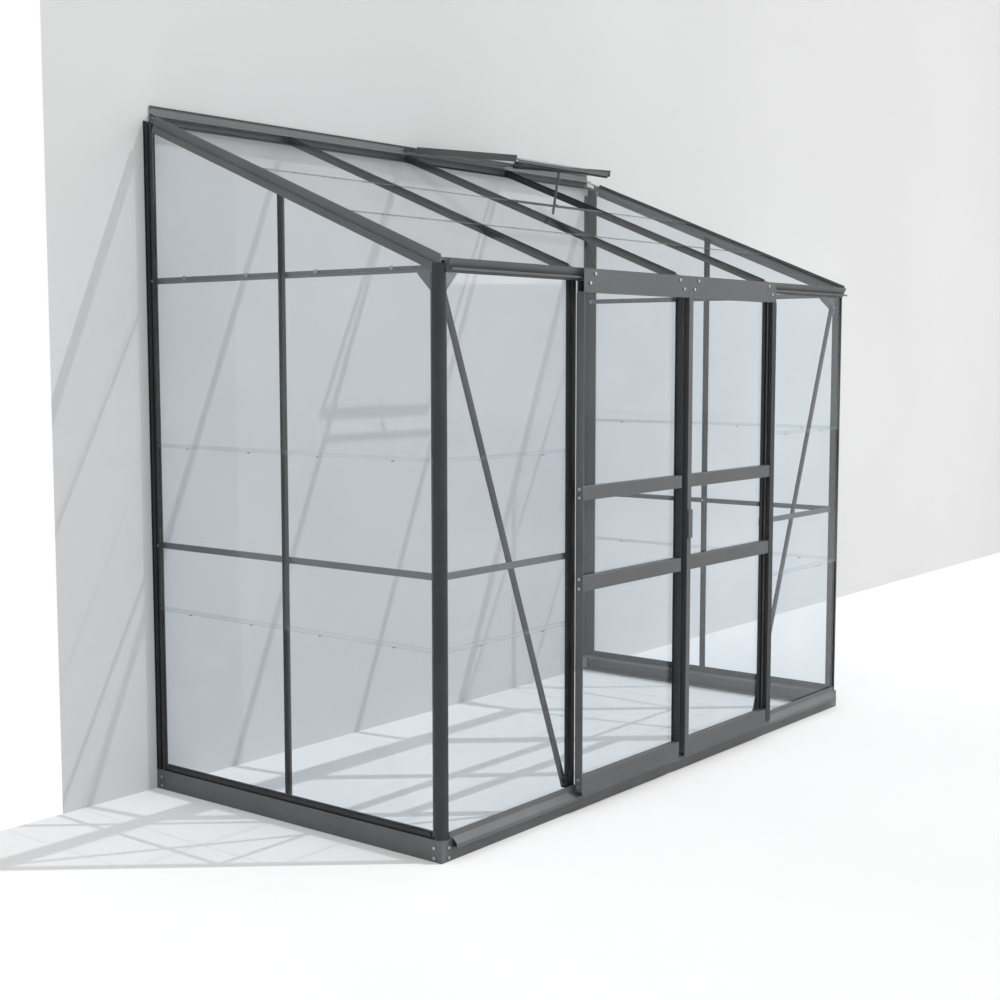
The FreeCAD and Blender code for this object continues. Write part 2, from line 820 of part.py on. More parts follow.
brace_top_x = f"({rail_start} + brace_set)"
brace_top_z = "(eave_level - brace_drop)"
brace_foot_x = bar_line[1]
brace_foot_z = f"({post_bottom} + brace_foot)"
brace_rise = f"({brace_top_z} - {brace_foot_z})"
brace_going = f"({brace_foot_x} - {brace_top_x})"
brace_span = f"sqrt(pow({brace_rise}; 2) + pow({brace_going}; 2))"
brace_y = "(bar_depth + rail_depth)"
half_brace = "(brace_width / 2)"
brace_section = [
    (f"-{half_brace}", "0"),
    (half_brace, "0"),
    (half_brace, "brace_depth"),
    (f"{half_brace} - sheet", "brace_depth"),
    (f"{half_brace} - sheet", "sheet"),
    (f"-{half_brace} + sheet", "sheet"),
    (f"-{half_brace} + sheet", "brace_depth"),
    (f"-{half_brace}", "brace_depth"),
]
braces = []
for side, sign in (("left", 1), ("right", -1)):
    label = f"Brace {side}"
    brace = profile(label, "z", [brace_section], f"{brace_span} + brace_width")
    axis = (0, -1, 0) if sign > 0 else (0, 1, 0)
    lean = f"atan({brace_going} / {brace_rise})"
    end_x = f"({brace_foot_x} + {half_brace} * {brace_going} / {brace_span})"
    end_z = f"({brace_foot_z} - {half_brace} * {brace_rise} / {brace_span})"
    place(brace, mirror_x(end_x, side), brace_y, end_z, axis, lean)
    nodes[label] = brace
    braces.append(label)
    inner_face = f"{brace_y} + sheet"
    gap_kind = ("sheet", "rail_depth - sheet")
    through = (label, f"Front gusset {side}")
    x = mirror_x(brace_top_x, side)
    grip = "rail_depth + sheet"
    gusset_bolts.append(bolt(x, inner_face, brace_top_z, "-y", grip, through, True, gap_kind))
    foot_kind = ("sheet", "rail_depth")
    x = mirror_x(brace_foot_x, side)
    grip = "rail_depth + sheet + channel_sheet"
    gusset_bolts.append(bolt(x, inner_face, brace_foot_z, "-y", grip, (label,), True, foot_kind))

# The eave.

# The gutter stands on the jambs and posts, carries the roof bars on a sloping shelf behind
# and the wheels of the doors on a beaded lip in front.
shelf_low = f"(roof_level + (gutter_back + sheet) * tan(roof_pitch) - roof_bar_depth / {run_cos})"
shelf_high = f"({shelf_low} + gutter_shelf * tan(roof_pitch))"
gutter_back_top = over("gutter_back", "-glass_inset - glass_sheet - lap_ease")
under_floor = "(gutter_floor - sheet)"
lip_top = "(gutter_floor - rail_lip_drop)"
gutter_section = [
    ("-gutter_front", "gutter_top"),
    ("-gutter_front + sheet", "gutter_top"),
    ("-gutter_heel", "gutter_floor"),
    ("gutter_back", "gutter_floor"),
    ("gutter_back", gutter_back_top),
    ("gutter_back + sheet", gutter_back_top),
    ("gutter_back + sheet", shelf_low),
    ("gutter_back + sheet + gutter_shelf", shelf_high),
    ("gutter_back + sheet + gutter_shelf", f"{shelf_high} - sheet"),
    ("gutter_back + sheet", f"{shelf_low} - sheet"),
    ("gutter_back + sheet", "eave_level"),
    ("gutter_back", "eave_level"),
    ("gutter_back", under_floor),
    ("-gutter_heel + sheet", under_floor),
    ("-gutter_heel + sheet", "eave_level"),
    ("-gutter_heel", "eave_level"),
    ("-gutter_heel", f"{lip_top} - sheet"),
    ("-rail_lip_reach", f"{lip_top} - sheet"),
    ("-rail_lip_reach", lip_top),
    ("-rail_lip_reach + sheet", lip_top),
    ("-rail_lip_reach + sheet", f"{lip_top} + rail_bead"),
    ("-rail_lip_reach + 2 * sheet", f"{lip_top} + rail_bead"),
    ("-rail_lip_reach + 2 * sheet", lip_top),
    ("-gutter_heel - sheet - rail_lip_ease", lip_top),
]
gutter = profile("Gutter", "x", [gutter_section], "length - 2 * (rafter_width + gutter_ease)")
place(gutter, "rafter_width + gutter_ease", "0", "0")
keep("gutter", gutter)

# The roof.

# A gable rafter: a seat for the roof panes, a raised rib outside it and a skirt over the gable
# glass, with a beaded recess between the rib and the skirt.
rafter_inside = "(glass_inset - lap_ease)"
rafter_section = [
    ("rafter_face", "rafter_rise"),
    ("rafter_nose", "rafter_rise"),
    ("rafter_nose", f"-{flange}"),
    ("rafter_width", f"-{flange}"),
    ("rafter_width", "-roof_bar_depth"),
    (rafter_inside, "-roof_bar_depth"),
    (rafter_inside, "-rafter_height"),
    ("0", "-rafter_height"),
    ("rafter_skin", "-rafter_bead - 3 * rafter_step"),
    ("0", "-rafter_bead - 2 * rafter_step"),
    ("0", "-rafter_bead - rafter_step"),
    ("rafter_recess", "-rafter_bead"),
    ("rafter_recess", "-rafter_bead + 2 * rafter_step"),
    ("rafter_lean", "-rafter_bead + 3 * rafter_step"),
    ("0", "0"),
]
rafter_hollow = [
    ("rafter_nose", f"-{flange_in}"),
    ("rafter_width - sheet", f"-{flange_in}"),
    ("rafter_width - sheet", "-roof_bar_depth + sheet"),
    ("rafter_nose", "-roof_bar_depth + sheet"),
]
rafter_first = "(-rafter_run_out)"
rafter_run = f"((depth - roof_bar_depth * {run_sin}) / {run_cos} - {rafter_first})"


# A point given by its distance from the base face and its level, or by that distance and its
# rise over the roof bars, as the run along a rafter and the rise over the roof bars.
def on_rafter(y, level):
    run = f"(({y}) * {run_cos} + ({level} - roof_level) * {run_sin} - {rafter_first})"
    return run, f"(({level} - roof_level) * {run_cos} - ({y}) * {run_sin})"


def plumb(y, rise):
    return f"((({y}) + ({rise}) * {run_sin}) / {run_cos} - {rafter_first})"


for side, sign in (("left", 1), ("right", -1)):
    turn = (lambda points: points) if sign > 0 else flip
    rafter = profile(f"Rafter {side}", "y", [turn(rafter_section), turn(rafter_hollow)], rafter_run)
    place_on_roof(rafter, mirror_x("0", side), rafter_first, "0")
    # The foot is cut plumb and sits on the corner post.
    above = "(post_top + 3 * post_width)"
    below = "(post_top - 3 * post_width)"
    notch(rafter, "x", [
        on_rafter("-rafter_tip", "post_top"),
        on_rafter("-rafter_tip", above),
        on_rafter("-2 * post_width", above),
        on_rafter("-2 * post_width", below),
        on_rafter("post_width", below),
        on_rafter("post_width", "post_top"),
    ])
    # The head is cut plumb against the wall post, and a tongue under it runs on to the wall plate.
    beyond = f"({rafter_run} + wall_post_width)"
    notch(rafter, "x", [
        (plumb(wall_post_line, "2 * rafter_rise"), "2 * rafter_rise"),
        (plumb(wall_post_line, "-rafter_bead"), "-rafter_bead"),
        (beyond, "-rafter_bead"),
        (beyond, "2 * rafter_rise"),
    ])
    start = plumb(wall_post_line, "-rafter_height")
    notch(rafter, "z", turn([("-1", start), (flange_in, start), (flange_in, beyond), ("-1", beyond)]))
    keep(f"gable_rafter_{side}", rafter)

roof_section = [(a, f"-({b})") for a, b in bar_section("bar_width", "roof_bar_depth", "0")]
roof_bars = []
roof_bolts = []
for n in (1, 2, 3):
    bar = profile(f"Roof bar {n}", "y", [roof_section], f"{roof_run} - roof_start")
    place_on_roof(bar, bar_line[n], "roof_start", "0")
    roof_bars.append(bar)
    rest = "roof_start + bar_bolt"
    item = copy_of(bolt_kind("channel_sheet + sheet", True, None), "Fixing")
    item = place_on_roof(item, bar_line[n], rest, "-roof_bar_depth + channel_sheet", "180")
    roof_bolts.append(item)
    bit = rod("Drill", "hole_radius", "channel_sheet + 2 * sheet")
    drills.setdefault("gutter", []).append(
        place_on_roof(bit, bar_line[n], rest, "-roof_bar_depth + channel_sheet", "180"))
group("roof_bars", roof_bars)
group("frame_bolts", rail_bolts + gusset_bolts + roof_bolts)

# The wall plate: a lipped face on the wall, with a hood over the top ends of the panes and a
# shelf under the ends of the roof bars.
hood_y = f"({plate_y} - plate_hood)"
shelf_y = f"({plate_y} - plate_shelf)"
shelf_under = "-roof_bar_depth - sheet"
groove_low = f"({plate_top} - plate_groove)"
plate_section = [
    ("depth", plate_top),
    ("depth - plate_lip", plate_top),
    ("depth - plate_lip", f"{plate_top} - sheet"),
    ("depth - sheet", f"{plate_top} - sheet"),
    ("depth - sheet", groove_low),
    (plate_y, groove_low),
    (plate_y, over(plate_y, "sheet")),
    (hood_y, over(hood_y, "sheet")),
    (hood_y, over(hood_y, "0")),
    (plate_y, over(plate_y, "0")),
    (plate_y, over(plate_y, "-roof_bar_depth")),
    (shelf_y, over(shelf_y, "-roof_bar_depth")),
    (shelf_y, over(shelf_y, shelf_under)),
    ("depth", over("depth", shelf_under)),
    ("depth", over("depth", "-roof_bar_depth")),
    (f"{plate_y} + sheet", over(f"{plate_y} + sheet", "-roof_bar_depth")),
    (f"{plate_y} + sheet", f"{groove_low} - sheet"),
    ("depth", f"{groove_low} - sheet"),
]
wall_plate = profile("Wall plate", "x", [plate_section], "length - 2 * rafter_width")
place(wall_plate, "rafter_width", "0", "0")
keep("wall_plate", wall_plate)

# The cross sill under the front edge of the vent rests on the flanges of two roof bars.
sill_length = f"({bay} - nose_width)"
vent_sill_x = f"({bar_line[2]} + {half_nose})"
hollow_sill = [
    [
        ("0", f"-{flange}"),
        ("vent_sill_width", f"-{flange}"),
        ("vent_sill_width", f"-{flange} + vent_sill_height"),
        ("0", f"-{flange} + vent_sill_height"),
    ],
    [
        ("sheet", f"-{flange} + sheet"),
        ("vent_sill_width - sheet", f"-{flange} + sheet"),
        ("vent_sill_width - sheet", f"-{flange} + vent_sill_height - sheet"),
        ("sheet", f"-{flange} + vent_sill_height - sheet"),
    ],
]
vent_sill = profile("Vent sill", "x", hollow_sill, sill_length)
place_on_roof(vent_sill, vent_sill_x, sill_run, "0")
peg = rod("Stay peg", "peg_radius", "peg_length")
peg_x = f"{bar_line[2]} + {bay} / 2 + peg_offset"
place_on_roof(peg, peg_x, f"{sill_run} + vent_sill_width", f"-{flange} / 2", "-90")
group("vent_sill", [vent_sill, peg])

# The glass, its clips and its rubber strips.

pane_start = "(post_width + pane_gap)"
pane_stop = f"({bar_line[1]} - {half_nose} - pane_gap)"
lean_in = "(glass_sheet + lap_ease)"
out_face = "(glass_inset - glass_sheet - lap_ease)"


# One pane of an upper row leans out at the foot so that it laps over the pane below.
def wall_pane(label, along, side, start, stop, low, high, leaning):
    span = f"({stop} - {start})"
    height = f"({high} - {low})"
    if along == "x":
        pane = slab(label, span, "glass_sheet", height)
        x = mirror_box(start, span, side)
        if leaning:
            return place(pane, x, out_face, low, (-1, 0, 0), f"asin({lean_in} / {height})")
        return place(pane, x, "glass_inset", low)
    pane = slab(label, "glass_sheet", span, height)
    outer = out_face if leaning else "glass_inset"
    if side == "left":
        x = outer
        axis = (0, 1, 0)
    else:
        lean_foot = f"glass_sheet * cos(asin({lean_in} / {height}))"
        x = f"(length - {outer} - {lean_foot if leaning else 'glass_sheet'})"
        axis = (0, -1, 0)
    if leaning:
        return place(pane, x, start, low, axis, f"asin({lean_in} / {height})")
    return place(pane, x, start, low)


half_lap = "(lap / 2)"
clips = []
clip_size = ("clip_length", "clip_reach", "clip_width")
clip_face = "(glass_inset - clip_reach - lap_ease)"
for side, sign in (("left", 1), ("right", -1)):
    panes = []
    for half, (start, stop) in enumerate((
        (pane_start, f"({side_bar_line} - {half_nose} - pane_gap)"),
        (f"({side_bar_line} + {half_nose} + pane_gap)", f"({wall_post_line} - pane_gap)"),
    )):
        rows = (
            ("side_sill_floor + sheet", f"lap_low + {half_lap}", False),
            (f"lap_low - {half_lap}", f"lap_high + {half_lap}", True),
            (f"lap_high - {half_lap}", "eave_rail_level - pane_gap", True),
        )
        for n, (low, high, leaning) in enumerate(rows):
            label = f"Pane {side} {half} {n}"
            panes.append(wall_pane(label, "y", side, start, stop, f"({low})", f"({high})", leaning))
        slope = f"roof_level - (roof_bar_depth + 2) / {run_cos}"
        gable = [
            (start, "eave_rail_level + pane_gap"),
            (stop, "eave_rail_level + pane_gap"),
            (stop, f"{slope} + {stop} * tan(roof_pitch)"),
            (start, f"{slope} + {start} * tan(roof_pitch)"),
        ]
        pane = profile(f"Gable pane {side} {half}", "x", [gable], "glass_sheet")
        panes.append(place(pane, mirror_box("glass_inset", "glass_sheet", side), "0", "0"))
        for level in ("lap_low", "lap_high"):
            for part in ("0.25", "0.75"):
                clip = slab("Clip", clip_size[1], clip_size[0], clip_size[2])
                middle = f"({start} + {part} * ({stop} - {start}) - clip_length / 2)"
                x = mirror_box(clip_face, "clip_reach", side)
                clips.append(place(clip, x, middle, f"{level} - {half_lap} - clip_width - lap_ease"))
        for part in ("0.25", "0.75"):
            clip = slab("Clip", "clip_width", "clip_length", "4 * clip_width")
            middle = f"({start} + {part} * ({stop} - {start}) - clip_length / 2)"
            x = mirror_box("glass_inset - clip_width", "clip_width", side)
            clips.append(place(clip, x, middle, "eave_rail_level"))
    group(f"side_glass_{side}", panes)

front_panes = []
for side in ("left", "right"):
    rows = (
        (post_bottom, f"lap_low + {half_lap}", False),
        (f"lap_low - {half_lap}", f"lap_high + {half_lap}", True),
        (f"lap_high - {half_lap}", f"{under_floor} - 2", True),
    )
    for n, (low, high, leaning) in enumerate(rows):
        label = f"Front pane {side} {n}"
        front_panes.append(
            wall_pane(label, "x", side, pane_start, pane_stop, f"({low})", f"({high})", leaning))
    for level in ("lap_low", "lap_high"):
        for part in ("0.25", "0.75"):
            clip = slab("Clip", *clip_size)
            middle = f"({pane_start} + {part} * ({pane_stop} - {pane_start}) - clip_length / 2)"
            x = mirror_box(middle, "clip_length", side)
            clips.append(place(clip, x, clip_face, f"{level} - {half_lap} - clip_width - lap_ease"))
group("front_glass", front_panes)

roof_panes = []
roof_glass_start = "0"
roof_glass_stop = roof_run
for n in range(4):
    start = f"({bar_line[n]} + {half_nose} + pane_gap)" if n else "(rafter_nose + pane_gap)"
    stop = f"({bar_line[n + 1]} - {half_nose} - pane_gap)"
    if n == 3:
        stop = "(length - rafter_nose - pane_gap)"
    rows = [
        (roof_glass_start, f"{roof_lap_low} + {half_lap}", False),
        (f"{roof_lap_low} - {half_lap}", f"{roof_lap_high} + {half_lap}", True),
        (f"{roof_lap_high} - {half_lap}", roof_glass_stop, True),
    ]
    if n == 2:
        rows = [rows[0], (f"{roof_lap_low} - {half_lap}", f"{sill_run} - lap_ease", True)]
    for m, (low, high, leaning) in enumerate(rows):
        run = f"(({high}) - ({low}))"
        pane = slab(f"Roof pane {n} {m}", f"{stop} - {start}", run, "glass_sheet")
        if leaning:
            lean = f"-asin({lean_in} / {run}) / 1 deg"
            place_on_roof(pane, start, low, "-glass_inset + lap_ease", lean)
        else:
            place_on_roof(pane, start, low, "-glass_inset - glass_sheet")
        roof_panes.append(pane)
        if leaning:
            for part in ("0.25", "0.75"):
                clip = slab("Clip", "clip_length", "clip_width", "clip_reach")
                middle = f"({start} + {part} * ({stop} - {start}) - clip_length / 2)"
                foot = f"{low} - clip_width - lap_ease"
                clips.append(place_on_roof(clip, middle, foot, "-glass_inset + lap_ease"))
group("roof_glass", roof_panes)
group("glass_clips", clips)

# Rubber strips between the panes and the flanges behind them.
seals = []
seal_depth = "(glass_inset + glass_sheet)"
seal_gap = "(channel_width / 2 - slot_width / 2)"


def upright_seal(side, across, low, high, wide="seal_width"):
    if side == "front":
        strip = slab("Seal", wide, "seal_sheet", f"{high} - ({low})")
        return place(strip, across, seal_depth, low)
    strip = slab("Seal", "seal_sheet", wide, f"{high} - ({low})")
    return place(strip, mirror_box(seal_depth, "seal_sheet", side), across, low)


after_nose = f"({half_nose} + pane_gap)"
for side in ("left", "right"):
    top = over(f"{side_bar_line} - bar_width / 2", "-roof_bar_depth - 1")
    for across in (f"{side_bar_line} + {after_nose}", f"{side_bar_line} - {after_nose} - seal_width"):
        seals.append(upright_seal(side, across, "track_top", top))
    seals.append(upright_seal(side, "post_width + pane_gap", "track_top", "eave_level"))
    across = f"{wall_post_line} - pane_gap - wall_seal_width"
    seals.append(upright_seal(side, across, "track_top", top, "wall_seal_width"))
    x = mirror_box("post_width + pane_gap", "seal_width", side)
    seals.append(upright_seal("front", x, post_bottom, "eave_level"))
    line = mirror_x(bar_line[1], side)
    edge = f"{line} - {after_nose} - seal_width" if side == "left" else f"{line} + {after_nose}"
    seals.append(upright_seal("front", edge, post_bottom, "eave_level"))

for n in range(5):
    for way in (-1, 1):
        if (n == 0 and way < 0) or (n == 4 and way > 0):
            continue
        across = {0: "rafter_nose + pane_gap", 4: "length - rafter_nose - pane_gap - seal_width"}.get(n)
        if across is None:
            gap = f"+ {after_nose}" if way > 0 else f"- {after_nose} - seal_width"
            across = f"{bar_line[n]} {gap}"
        beside_vent = (n, way) in ((2, 1), (3, -1))
        stop = sill_run if beside_vent else roof_glass_stop
        strip = slab("Seal", "seal_width", f"{stop} - roof_start", "seal_sheet")
        seals.append(place_on_roof(strip, across, "roof_start", f"-{flange}"))

# Rubber on the shelf of the wall plate, between the ends of the roof bars.
for n in range(4):
    start = f"({bar_line[n]} + channel_width / 2 + pane_gap)" if n else "(rafter_width + pane_gap)"
    stop = f"({bar_line[n + 1]} - channel_width / 2 - pane_gap)"
    if n == 3:
        stop = "(length - rafter_width - pane_gap)"
    strip = slab("Seal", f"{stop} - {start}", "shelf_seal", "seal_sheet")
    run = f"(({shelf_y} + pane_gap - roof_bar_depth * {run_sin}) / {run_cos})"
    seals.append(place_on_roof(strip, start, run, "-roof_bar_depth"))
group("glazing_seals", seals)

# The sliding doors.

leaf = f"({bay} - leaf_gap)"
leaf_start = {"left": f"({bar_line[1]} + leaf_gap)", "right": f"{bar_line[2]} + leaf_ease"}
leaf_width = f"({leaf} - leaf_ease)"
face = "(-door_face)"
front_face = "(-door_face - sheet)"
back_face = "(-door_back)"
stile_back = "(-door_back + sheet)"
wheel_y = "(-rail_lip_reach)"
axle_level = f"({lip_top} + rail_bead + wheel_groove + wheel_ease)"


def frame_box(label, low, high, x, width, skirt=None):
    outer = [(face, low), (back_face, low), (back_face, high), (face, high)]
    inner = [
        (f"{face} + sheet", f"{low} + sheet"),
        (f"{back_face} - sheet", f"{low} + sheet"),
        (f"{back_face} - sheet", f"{high} - sheet"),
        (f"{face} + sheet", f"{high} - sheet"),
    ]
    if skirt:
        outer = [(face, skirt), (f"{face} + sheet", skirt), (f"{face} + sheet", low)] + outer[1:]
    body = profile(label, "x", [outer, inner], width)
    return place(body, x, "0", "0")


for side in ("left", "right"):
    name = f"{side}_door"
    x0 = leaf_start[side]
    inner_x = f"{x0} + sheet"
    inner_width = f"({leaf_width} - 2 * sheet)"
    if side == "left":
        inner_width = f"({leaf_width} - 2 * sheet - meeting_set)"
    fascia_outer = [
        (face, "fascia_bottom"),
        (back_face, "fascia_bottom"),
        (back_face, "fascia_bottom + fascia_box"),
        (f"{face} + sheet", "fascia_bottom + fascia_box"),
        (f"{face} + sheet", "fascia_top"),
        (face, "fascia_top"),
    ]
    fascia_inner = [
        (f"{face} + sheet", "fascia_bottom + sheet"),
        (f"{back_face} - sheet", "fascia_bottom + sheet"),
        (f"{back_face} - sheet", "fascia_bottom + fascia_box - sheet"),
        (f"{face} + sheet", "fascia_bottom + fascia_box - sheet"),
    ]
    fascia = profile(f"{name}_top_rail", "x", [fascia_outer, fascia_inner], leaf_width)
    keep(f"{name}_top_rail", place(fascia, x0, "0", "0"))
    rails = [
        frame_box(f"{name} low", "door_low_rail", "door_low_rail_top", inner_x, inner_width),
        frame_box(f"{name} high", "door_high_rail", "door_high_rail_top", inner_x, inner_width),
    ]
    group(f"{name}_mid_rails", rails)
    floor = "(door_foot + door_floor_rise)"
    bottom = frame_box(f"{name}_bottom_rail", floor, "door_bottom_rail", inner_x, inner_width, "door_skirt")
    keep(f"{name}_bottom_rail", bottom)

    # The left leaf's outer stile has its flange behind the glass; the other outer stile and the
    # right leaf's meeting stile turn theirs to the front. The left leaf's meeting stile is set
    # back and closes the gap between the leaves with a lip behind.
    back_stile = [
        ("0", face),
        ("sheet", face),
        ("sheet", back_face),
        ("door_flange", back_face),
        ("door_flange", stile_back),
        ("0", stile_back),
    ]
    lap_stile = [
        ("meeting_set", face),
        ("meeting_set + sheet", face),
        ("meeting_set + sheet", back_face),
        ("meeting_set + stile_lip", back_face),
        ("meeting_set + stile_lip", stile_back),
        ("0", stile_back),
        ("0", back_face),
        ("meeting_set", back_face),
    ]
    channels = {}
    for flange_wide in ("meeting_flange", "door_flange"):
        channels[flange_wide] = [
            ("0", front_face),
            (flange_wide, front_face),
            (flange_wide, face),
            ("sheet", face),
            ("sheet", back_face),
            ("stile_lip", back_face),
            ("stile_lip", stile_back),
            ("0", stile_back),
        ]
    stile_height = "fascia_bottom - door_foot"
    if side == "left":
        outer_stile = profile(f"{name}_outer_stile", "z", [back_stile], stile_height)
        place(outer_stile, x0, "0", "door_foot")
        meeting = profile(f"{name}_meeting_stile", "z", [flip(lap_stile)], stile_height)
        place(meeting, f"{x0} + {leaf_width}", "0", "door_foot")
    else:
        outer_stile = profile(f"{name}_outer_stile", "z", [flip(channels["door_flange"])], stile_height)
        place(outer_stile, f"{x0} + {leaf_width}", "0", "door_foot")
        meeting = profile(f"{name}_meeting_stile", "z", [channels["meeting_flange"]], stile_height)
        place(meeting, x0, "0", "door_foot")
    keep(f"{name}_outer_stile", outer_stile)
    keep(f"{name}_meeting_stile", meeting)

    panes = []
    pane_y = f"({back_face} - glass_sheet)"
    levels = (
        ("door_bottom_rail", "door_low_rail"),
        ("door_low_rail_top", "door_high_rail"),
        ("door_high_rail_top", "fascia_bottom"),
    )
    for n, (low, high) in enumerate(levels):
        width = f"{inner_width} - 2 * pane_gap"
        pane = slab(f"{name} pane {n}", width, "glass_sheet", f"{high} - {low}")
        panes.append(place(pane, f"{inner_x} + pane_gap", pane_y, low))
    group(f"{name}_glass", panes)

    fixings = []
    top_label = f"{name}_top_rail"
    offsets = ("wheel_offset", f"{leaf_width} - wheel_offset")
    for n, offset in enumerate(offsets):
        spacer = ("sheet", "door_face - sheet - rail_lip_reach - wheel_ease")
        grip = "door_face - rail_lip_reach + wheel_width + wheel_ease"
        spot = f"({x0} + {offset})"
        fixings.append(bolt(spot, face, axle_level, "+y", grip, (top_label,), True, spacer))
        label = f"{name}_wheel_{'ab'[n]}"
        rim = [
            ("shank_radius + running_ease", "0"),
            ("wheel_radius", "0"),
            ("wheel_radius", "wheel_flange"),
            ("wheel_groove", "wheel_flange + wheel_ease"),
            ("wheel_groove", "wheel_width - wheel_flange - wheel_ease"),
            ("wheel_radius", "wheel_width - wheel_flange"),
            ("wheel_radius", "wheel_width"),
            ("shank_radius + running_ease", "wheel_width"),
        ]
        wheel = doc.addObject("PartDesign::Body", label)
        turned = wheel.newObject("PartDesign::Revolution", "Turned")
        turned.Profile = outline(wheel, "XZ_Plane", [rim])
        turned.ReferenceAxis = (origin_part(wheel, "Z_Axis"), [""])
        turned.Angle = 360
        wheel.Tip = turned
        keep(label, aim(wheel, spot, f"{wheel_y}", axle_level, "+y"))
    for offset in ("stile_bolt", f"{leaf_width} - stile_bolt"):
        spot = f"({x0} + {offset})"
        fixings.append(bolt(spot, face, "fascia_bottom + fascia_screw", "+y", "sheet", (top_label,), False))
    for low, high, label in (
        ("door_high_rail", "door_high_rail_top", f"{name}_mid_rails"),
        ("door_low_rail", "door_low_rail_top", f"{name}_mid_rails"),
        (floor, "door_bottom_rail", f"{name}_bottom_rail"),
    ):
        for level in (f"{low} + stile_screw", f"{high} - stile_screw"):
            middle = f"({face} + {back_face}) / 2"
            left_stile = f"{name}_{'outer' if side == 'left' else 'meeting'}_stile"
            right_stile = f"{name}_{'meeting' if side == 'left' else 'outer'}_stile"
            if side == "left":
                fixings.append(bolt(x0, middle, level, "+x", "sheet", (left_stile,), False))
            else:
                edge = f"({x0} + {leaf_width})"
                fixings.append(bolt(edge, middle, level, "-x", "sheet", (right_stile,), False))
    group(f"{name}_fixings", fixings)

    guides = []
    guide_foot = "(track_top - guide_overlap)"
    guide_roof = "(track_top + sheet + guide_roof)"
    guide_section = [
        (back_face, guide_foot),
        ("-track_face - guide_front_ease", guide_foot),
        ("-track_face - guide_front_ease", "track_top + sheet"),
        ("-track_face + sheet + guide_back_ease", "track_top + sheet"),
        ("-track_face + sheet + guide_back_ease", guide_foot),
        ("glass_inset - guide_glass_ease", guide_foot),
        ("glass_inset - guide_glass_ease", guide_roof),
        (back_face, guide_roof),
    ]
    for n, offset in enumerate(("guide_offset", f"({leaf_width} - guide_offset - guide_length)")):
        guide = profile(f"{name} guide {n}", "x", [guide_section], "guide_length")
        guides.append(place(guide, f"{x0} + {offset}", "0", "0"))
    group(f"{name}_guides", guides)

# The handle: a bevelled grip on the right leaf's meeting stile.
handle_edge = "(meeting_flange + handle_lip)"
handle_section = [
    ("handle_inset", front_face),
    ("handle_inset", "-front_reach + handle_bevel"),
    ("handle_inset + handle_bevel", "-front_reach"),
    (f"{handle_edge} - handle_bevel", "-front_reach"),
    (handle_edge, "-front_reach + handle_bevel"),
    (handle_edge, front_face),
]
handle = profile("Handle", "z", [handle_section], "handle_length")
keep("right_door_handle", place(handle, leaf_start["right"], "0", "handle_level"))

# The roof vent.

# The vent is drawn square to its hinge line and set down at the angle of its resting pose.
vent_x = f"({bar_line[2]} + vent_inset)"
vent_wide = f"({bay} - 2 * vent_inset)"


def place_on_vent(item, x, run="0", rise="0"):
    y = f"({hinge_y} + ({run}) * cos(vent_rest) - ({rise}) * sin(vent_rest))"
    z = f"({hinge_level} + ({run}) * sin(vent_rest) + ({rise}) * cos(vent_rest))"
    return place(item, x, y, z, (1, 0, 0), "vent_rest")


lug_out = "(lug_width + lug_clear)"
pin = rod("Hinge pin", "hinge_radius", f"{vent_wide} + 2 * {lug_out}")
aim(pin, f"{vent_x} - {lug_out}", hinge_y, hinge_level, "+x")
lugs = [pin]
for x in (f"{vent_x} - {lug_out}", f"{vent_x} + {vent_wide} + lug_clear"):
    lug = profile("Lug", "x", [[
        ("-hinge_radius - hinge_wall", "-hinge_radius - hinge_wall"),
        ("hinge_reach", "-hinge_radius - hinge_wall"),
        ("hinge_reach", "hinge_radius + hinge_wall"),
        ("-hinge_radius - hinge_wall", "hinge_radius + hinge_wall"),
    ]], "lug_width")
    lugs.append(place(lug, x, hinge_y, hinge_level))
hinge = doc.addObject("Part::MultiFuse", "Hinge set")
hinge.Shapes = lugs
keep("vent_hinge_pin", hinge)

top_rail = profile("Vent top rail", "x", [[
    ("-hinge_rail_run", "-hinge_rail_half"),
    ("hinge_radius + hinge_wall", "-hinge_rail_half"),
    ("hinge_radius + hinge_wall", "hinge_rail_half"),
    ("-hinge_rail_seat", "hinge_rail_half"),
    ("-hinge_rail_seat", "0"),
    ("-hinge_rail_run", "0"),
]], vent_wide)
hinge_bore = "hinge_radius + running_ease"
bore = top_rail.newObject("PartDesign::Pocket", "Bore")
bore_sketch = top_rail.newObject("Sketcher::SketchObject", "Circle")
bore_sketch.AttachmentSupport = [(origin_part(top_rail, "YZ_Plane"), "")]
bore_sketch.MapMode = "FlatFace"
circle = Part.Circle(FreeCAD.Vector(0, 0, 0), FreeCAD.Vector(0, 0, 1), number(hinge_bore))
bore_sketch.addGeometry(circle, False)
bore_sketch.addConstraint(Sketcher.Constraint("Coincident", 0, 3, -1, 1))
bore_sketch.addConstraint(Sketcher.Constraint("Radius", 0, number(hinge_bore)))
bore_sketch.setExpression("Constraints[1]", tied(hinge_bore))
bore.Profile = bore_sketch
bore.Type = 1
bore.Midplane = True
top_rail.Tip = bore
keep("vent_top_rail", place_on_vent(top_rail, vent_x))

